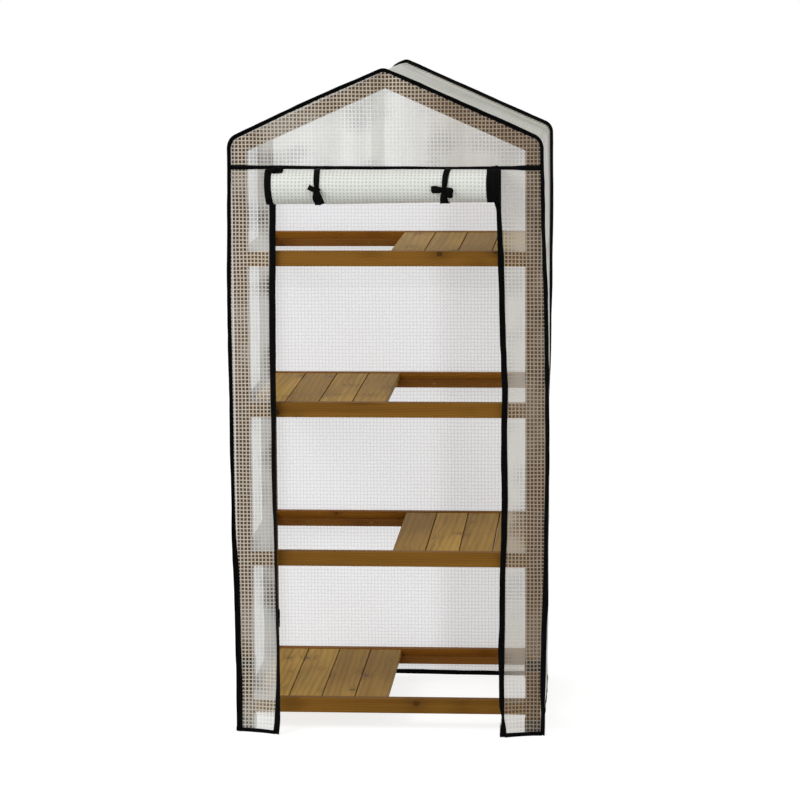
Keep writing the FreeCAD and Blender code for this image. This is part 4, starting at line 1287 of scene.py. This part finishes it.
def rolled_tape(name, low, high, side, drawn_in, seed, *nodes):
    """The zip tape at one edge of the door, wound up with it and stepping out a little."""
    width = high - low

    def x_at(turned):
        wander = 0.0020 * waver(seed, turned, 0.9) + 0.0008 * waver(seed + 1, turned, 0.2)
        pulled_in = 0.0009 * turned + drawn_in * smooth_share(turned - 0.7)
        return (low + high) / 2 + side * (wander - pulled_in)

    line, outs = roll_line(x_at, lift=0.0005)
    right = Vector((1.0, 0.0, 0.0))
    stations = [(point, right, out, 1.0 + 0.05 * waver(seed + 2, r, 0.03), 1.0)
                for point, out, r in zip(line, outs, lengths(line))]
    piece = sweep(name, stations, flat_section(width, 0.0011, start=-width / 2))
    place(piece, ZIP_TAPE, "zip_tape", "cover", *nodes)
    shown = ROLL_LEAD + int(1.4 * ROLL_STEPS)
    edge = [(point, right * side, out, 1.0, 1.0) for point, out in zip(line[:shown], outs)]
    place(teeth(name + "_coil", edge, width / 2 - 0.0004), ZIP_COIL, "zip_tape", "cover")
    return piece


LEFT_ROLL_TAPE = rolled_tape("left_door_tape", *LEFT_DOOR_TAPE, -1, 0.004, 84, "door_edge_tapes")
RIGHT_ROLL_TAPE = rolled_tape("right_door_tape", *RIGHT_DOOR_TAPE, 1, 0.0, 88)


def crumpled(name, centre, size, seed, creases, material, slot):
    """A small folded lump, such as a knot, from a round form with creases and dents."""
    work = bmesh.new()
    bmesh.ops.create_icosphere(work, subdivisions=4, radius=1.0)
    work.verts.index_update()
    faces = [[vertex.index for vertex in face.verts] for face in work.faces]
    points = []
    for vertex in work.verts:
        p = vertex.co
        fold = abs(noise.noise(p * creases + Vector((seed, seed * 0.7, 0.0))))
        swell = 1.0 + 0.55 * (fold - 0.25) + 0.18 * noise.noise(p * 1.3 + Vector((0.0, seed, 2.0)))
        points.append(p * swell * Vector(size))
    work.free()
    cloth = [(p.x + p.y, p.z + 0.01) for p in points]
    piece = new_piece(name, [p + centre for p in points], faces, cloth, closed=False)
    place(piece, material, slot, "cover")


crumpled("left_door_tape_fold", Vector((-0.2405, ROLL_Y - 0.0125, ROLL_Z + 0.0380)),
         (0.0190, 0.0130, 0.0075), 1.7, 1.9, ZIP_TAPE, "zip_tape")
crumpled("right_door_tape_fold", Vector((0.2440, FRONT_Y - 0.009, SEAM_Z + 0.0005)),
         (0.0120, 0.0070, 0.0050), 4.1, 1.7, ZIP_TAPE, "zip_tape")


# Ties

def ribbon(name, points, widths, looks, steps=6):
    """A flat ribbon along a smooth line. looks holds the way it faces at each given point."""
    line = rounded_line(points, steps)
    looks = [Vector(look) for look in looks]
    stations = []
    for i, (point, way) in enumerate(zip(line, tangents(line))):
        at = min(i / steps, len(points) - 1 - 1e-6)
        k = int(at)
        look = looks[k].lerp(looks[k + 1], at - k).normalized()
        look = (look - way * look.dot(way)).normalized()
        width = widths[k] + (widths[k + 1] - widths[k]) * (at - k)
        stations.append((point, look.cross(way).normalized(), look, width, 1.0))
    section = [(max(-0.5, min(0.5, a)), b) for a, b in flat_section(1.0, RIBBON_THICK, start=-0.5)]
    return sweep(name, stations, section, cloth_across=lambda a, wide: a * wide + RIBBON_CLOTH_START)


def tie_ribbon(name, points, widths, looks, *nodes):
    place(ribbon(name, points, widths, looks), RIBBON, "ribbon", "cover", *nodes)


def round_roll(x, degrees, lift):
    """A point on the roll, counted from its top towards the front, and the way out there."""
    point, out = roll_place(degrees / 360, x)
    return point + out * (lift + ROLL_TURN_GAP * degrees / 360), out


# The knot's place round the roll in degrees, and where the under band leaves the roll
KNOT_AT = 94
UNDER_FROM = 255
OVER_KNOT_WIDTH = 0.0105
UNDER_KNOT_WIDTH = 0.0095


def tie_bands(name, top_x, knot_x, top_width, seed, *nodes):
    """The two halves of a tie, over the roll and under it, meeting at the knot in front."""
    points = [Vector((top_x, FRONT_Y - ROLL_START, SEAM_Z + 0.0010))]
    looks = [UP]
    widths = [top_width]
    for degrees in (-18, 0, 22, 44, 64, 80, KNOT_AT):
        share = max(0.0, degrees) / KNOT_AT
        x = top_x + (knot_x - top_x) * share + 0.0005 * waver(seed, degrees, 30)
        point, out = round_roll(x, degrees, 0.0012 + (0.0010 if degrees < 0 else 0.0))
        points.append(point)
        looks.append(out)
        widths.append(top_width - (top_width - OVER_KNOT_WIDTH) * share ** 4)
    tie_ribbon(name, points, widths, looks, *nodes)
    points = [Vector((top_x, FRONT_Y - 0.0026, SEAM_Z - 0.0040)),
              Vector((top_x, FRONT_Y - 0.0040, SEAM_Z - 0.022))]
    looks = [(0.0, 1.0, 0.0), (0.0, 1.0, 0.1)]
    widths = [top_width, top_width]
    for degrees in (UNDER_FROM, 225, 195, 165, 140, 118, KNOT_AT):
        share = (UNDER_FROM - degrees) / (UNDER_FROM - KNOT_AT)
        point, out = round_roll(top_x + (knot_x - top_x) * share, degrees, 0.0010)
        points.append(point)
        looks.append(out)
        widths.append(top_width - (top_width - UNDER_KNOT_WIDTH) * share ** 3)
    tie_ribbon(name + "_under", points, widths, looks)


KNOT_Y = ROLL_Y - ROLL_RADIUS - 0.0048
LEFT_KNOT = Vector((-0.1458, KNOT_Y, 1.2475))
RIGHT_KNOT = Vector((0.1345, KNOT_Y, 1.2465))


def tail(name, knot, points, widths, looks):
    """A loose end of a tie. Its points are counted from the knot."""
    tie_ribbon(name, [knot + Vector(point) for point in points], widths, looks)


tie_bands("left_tie", -0.1486, LEFT_KNOT.x, 0.0134, 91, "left_door_tie")
crumpled("left_tie_knot", LEFT_KNOT + Vector((0.0, 0.0006, 0.0)), (0.0074, 0.0048, 0.0062), 2.3, 2.4,
         RIBBON, "ribbon")
tail("left_tie_short_tail", LEFT_KNOT,
     ((0.0030, -0.0010, -0.0040), (-0.0050, -0.0052, 0.0006), (-0.0115, -0.0050, 0.0038),
      (-0.0180, -0.0025, 0.0072)),
     (0.0090, 0.0110, 0.0118, 0.0122),
     ((0.1, -1.0, 0.3), (0.0, -1.0, 0.4), (-0.2, -1.0, 0.2), (-0.3, -1.0, 0.0)))
tail("left_tie_long_tail", LEFT_KNOT,
     ((-0.0010, -0.0010, 0.0010), (0.0028, -0.0062, -0.0085), (0.0075, -0.0060, -0.0200),
      (0.0118, -0.0020, -0.0312)),
     (0.0110, 0.0130, 0.0135, 0.0135),
     ((0.0, -1.0, 0.2), (0.1, -1.0, 0.1), (0.2, -1.0, -0.1), (0.1, -1.0, -0.2)))
tail("left_tie_second_tail", LEFT_KNOT,
     ((-0.0010, 0.0006, -0.0030), (-0.0026, -0.0036, -0.0110), (-0.0034, -0.0030, -0.0185),
      (-0.0010, 0.0010, -0.0258)),
     (0.0095, 0.0120, 0.0122, 0.0100),
     (FRONT_LOOK, (-0.3, -1.0, 0.1), (-0.3, -1.0, 0.0), FRONT_LOOK))

tie_bands("right_tie", 0.1414, RIGHT_KNOT.x, 0.0138, 95, "right_door_tie")
crumpled("right_tie_knot", RIGHT_KNOT + Vector((0.0, 0.0002, 0.0)), (0.0062, 0.0050, 0.0060), 5.2, 2.6,
         RIBBON, "ribbon")

# Where a bow's loop goes: a share of its reach, then metres back and up, and a share of its width
LOOP_SHAPE = ((0.0, 0.0000, -0.0002, 0.42), (0.30, -0.0036, 0.0004, 0.86), (0.70, -0.0046, 0.0006, 1.06),
              (0.97, -0.0030, 0.0004, 0.80), (1.0, -0.0008, -0.0004, 0.62), (0.80, 0.0012, -0.0012, 0.98),
              (0.40, 0.0016, -0.0010, 0.80), (0.0, 0.0012, -0.0004, 0.42))


def bow_loop(name, way, reach, rise, wide):
    """A flat loop of the bow, out from the knot to its turn and back behind itself."""
    points = [RIGHT_KNOT + Vector((way * reach * share, back - 0.001, up + rise * share))
              for share, back, up, _ in LOOP_SHAPE]
    looks = [FRONT_LOOK, FRONT_LOOK, (way * 0.15, -1.0, 0.1), (way, -0.8, 0.0), (way, 0.2, 0.0),
             (way * 0.3, 1.0, 0.0), (0.0, 1.0, 0.0), (0.0, 1.0, 0.0)]
    tie_ribbon(name, points, [wide * row[3] for row in LOOP_SHAPE], looks)


bow_loop("right_tie_left_loop", -1, 0.0272, 0.0028, 0.0158)
bow_loop("right_tie_right_loop", 1, 0.0195, -0.0078, 0.0222)
tail("right_tie_tail", RIGHT_KNOT,
     ((0.0000, -0.0010, -0.0020), (-0.0010, -0.0058, -0.0110), (-0.0012, -0.0058, -0.0195),
      (-0.0005, -0.0020, -0.0280)),
     (0.0085, 0.0125, 0.0135, 0.0150),
     (FRONT_LOOK, (-0.2, -1.0, 0.1), (-0.1, -1.0, -0.1), (0.2, -1.0, -0.2)))
tail("right_tie_second_tail", RIGHT_KNOT,
     ((0.0004, 0.0005, -0.0015), (-0.0020, -0.0030, -0.0100), (-0.0034, -0.0035, -0.0175),
      (-0.0036, -0.0005, -0.0245)),
     (0.0065, 0.0090, 0.0105, 0.0105),
     (FRONT_LOOK, (-0.4, -1.0, 0.1), (-0.5, -1.0, 0.0), (-0.3, -1.0, 0.0)))


# Straps round the posts

def strap_line(middle, half_x, half_y):
    """A rounded rectangle round a post, and the way out at each of its points."""
    corners = []
    for sx, sy, first in ((1, 1, 0), (-1, 1, 90), (-1, -1, 180), (1, -1, 270)):
        for step in range(5):
            angle = math.radians(first + 22.5 * step)
            out = Vector((math.cos(angle), math.sin(angle), 0.0))
            centre = middle + Vector((sx * (half_x - STRAP_CORNER), sy * (half_y - STRAP_CORNER), 0.0))
            corners.append((centre + out * STRAP_CORNER, out))
    line = []
    for (point, out), (next_point, next_out) in zip(corners, corners[1:] + corners[:1]):
        for step in range(3):
            line.append((point.lerp(next_point, step / 3), out.lerp(next_out, step / 3).normalized()))
    return line


def post_strap(post, seed, *nodes):
    """Webbing round one post near the floor, with its loose end on the inner side."""
    low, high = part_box(post)
    middle = Vector(((low.x + high.x) / 2, (low.y + high.y) / 2, STRAPS[1].z - STRAP_WIDTH))
    half_x = (high.x - low.x) / 2 + STRAP_THICK * 0.55
    half_y = (high.y - low.y) / 2 + STRAP_THICK * 0.55
    stations = [(point, UP, out, 1.0 + 0.02 * waver(seed, i * 0.01, 0.05), 1.0)
                for i, (point, out) in enumerate(strap_line(middle, half_x, half_y))]
    name = post.replace("_post", "_strap")
    band = sweep(name, stations, flat_section(STRAP_WIDTH, STRAP_THICK), closed=True)
    place(band, WEBBING, "strap", "frame", *nodes)
    side = 1 if middle.x > 0 else -1
    inner = -side * (half_x + STRAP_THICK)
    points = [middle + Vector((inner + side * x, y, z))
              for x, y, z in ((0.0002, 0.0, 0.0225), (0.0, 0.0, 0.0100), (0.0003, 0.0004, -0.0060),
                              (0.0004, 0.0008, -0.0200))]
    loose = ribbon(name + "_end", points, [high.y - low.y - 0.004] * 4, [(-side, 0.0, 0.0)] * 4)
    place(loose, WEBBING, "strap", "frame")


post_strap("front_left_post", 101, "post_straps")
post_strap("front_right_post", 102)
post_strap("back_left_post", 103)
post_strap("back_right_post", 104)


# Finishes of the wooden frame, decks and hardware

# Painted shade: posts, rafters, side rails and ridge bar are stained darker than the rails, for the film
# over them
SHADED_POST_TONES = (paint(114, 78, 46), paint(66, 40, 22))
RAIL_TONES = (paint(133, 92, 33), paint(86, 54, 14))
BACK_RAIL_TONES = (paint(148, 96, 28), paint(92, 50, 12))
LEDGER_TONES = (paint(132, 86, 34), paint(84, 48, 16))
SLAT_TONES = (paint(192, 152, 68), paint(112, 77, 26))
# How a wooden piece's name starts and ends, then its grain, tones and share of knots
WOOD = (
    ("", "_post", "z", SHADED_POST_TONES, 0.40),
    ("", "left_rafter", "left_slope", SHADED_POST_TONES, 0.40),
    ("", "right_rafter", "right_slope", SHADED_POST_TONES, 0.40),
    ("front_rail", "", "x", RAIL_TONES, 0.62),
    ("back_rail", "", "x", BACK_RAIL_TONES, 0.62),
    ("ledgers", "", "x", LEDGER_TONES, 0.30),
    ("side_rails", "", "y", SHADED_POST_TONES, 0.40),
    ("ridge_bar", "", "y", SHADED_POST_TONES, 0.40),
    ("cross_battens", "", "x", SLAT_TONES, 0.40),
    ("slats", "", "y", SLAT_TONES, 0.45),
)
METAL = (("screws", SCREW_STEEL), ("zip_slider", ZIP_METAL), ("zip_pull", ZIP_METAL),
         ("foot_caps", FOOT_PLASTIC))


def dress(node, material):
    """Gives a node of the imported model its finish."""
    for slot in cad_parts[node].material_slots:
        slot.material = material


def dress_all():
    seed = 1.0
    for name in sorted(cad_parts):
        seed += 1.93
        for start, end, grain, tones, knots in WOOD:
            if name.startswith(start) and name.endswith(end):
                more = {}
                if start == "slats":
                    first_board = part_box(name)[0].x - (SLAT_STEP - SLAT_WIDTH) / 2
                    more = dict(ring_width=0.0085, first_board=first_board)
                dress(name, pine(f"pine_{name}", grain, seed, tones, knots, **more))
        for word, material in METAL:
            if word in name:
                dress(name, material)


dress_all()


# Floor, light and camera

AMBIENT = 0.66
WHITE = (1.0, 1.0, 1.0, 1.0)


def backdrop_seen(tree):
    """1 for rays that see the backdrop directly, in a mirror or through glass."""
    rays = new_node(tree, "LightPath").outputs
    seen = calc("MAXIMUM", rays["Is Camera Ray"], rays["Is Glossy Ray"])
    return calc("MAXIMUM", seen, rays["Is Transmission Ray"])


def make_world():
    """White where it is seen, and a plain soft light on the object."""
    world = bpy.data.worlds.new("studio")
    world.use_nodes = True
    background = world.node_tree.nodes["Background"]
    strength = times_plus(backdrop_seen(world.node_tree), 1.0 - AMBIENT, AMBIENT)
    feed_all(background.inputs, Color=WHITE, Strength=strength)
    bpy.context.scene.world = world


def make_floor():
    """A plain pale floor that stays white where no shadow falls."""
    mesh = bpy.data.meshes.new("studio_floor")
    half = 9.0
    corners = [(-half, -half, 0.0), (half, -half, 0.0), (half, half, 0.0), (-half, half, 0.0)]
    mesh.from_pydata(corners, [], [(0, 1, 2, 3)])
    material, shader = new_material("pale_floor")
    feed_all(shader.inputs, Base_Color=(0.38, 0.38, 0.38, 1.0), Roughness=0.9, Specular_IOR_Level=0.0,
             Emission_Color=WHITE,
             Emission_Strength=times_plus(backdrop_seen(material.node_tree), 0.51, 0.28))
    mesh.materials.append(material)
    new_object("studio_floor", mesh)


def soft_lamp(name, place_at, target, size, power):
    data = bpy.data.lights.new(name, "AREA")
    data.shape = "SQUARE"
    data.size = size
    data.energy = power
    lamp = new_object(name, data)
    lamp.location = place_at
    lamp.rotation_euler = (Vector(target) - Vector(place_at)).to_track_quat("-Z", "Y").to_euler()


CAMERA_PLACE = Vector((0.4818, -6.5420, 1.7238))
CAMERA_YAW = math.radians(-4.0947)
CAMERA_PITCH = math.radians(-8.5707)
CAMERA_ROLL = math.radians(-0.3740)
CAMERA_LENS = 128.18


def make_camera():
    """The photograph's view: from the front, a little to the right and above."""
    forward = Vector((math.sin(CAMERA_YAW) * math.cos(CAMERA_PITCH),
                      math.cos(CAMERA_YAW) * math.cos(CAMERA_PITCH), math.sin(CAMERA_PITCH)))
    level = Vector((math.cos(CAMERA_YAW), -math.sin(CAMERA_YAW), 0.0))
    upright = level.cross(forward)
    right = level * math.cos(CAMERA_ROLL) + upright * math.sin(CAMERA_ROLL)
    up = upright * math.cos(CAMERA_ROLL) - level * math.sin(CAMERA_ROLL)
    data = bpy.data.cameras.new("photo_camera")
    data.sensor_width = 36.0
    data.lens = CAMERA_LENS
    data.clip_end = 60.0
    camera = new_object("photo_camera", data)
    turn = Matrix((right, up, -forward)).transposed().to_4x4()
    camera.matrix_world = Matrix.Translation(CAMERA_PLACE) @ turn
    bpy.context.scene.camera = camera


make_camera()
make_world()
make_floor()
soft_lamp("key_light", (-2.6, -2.8, 3.6), (0.0, 0.0, 0.8), 2.2, 92.0)
soft_lamp("fill_light", (2.6, -4.5, 2.6), (0.0, 0.0, 0.7), 2.4, 16.0)
bpy.context.scene.view_settings.view_transform = "Standard"
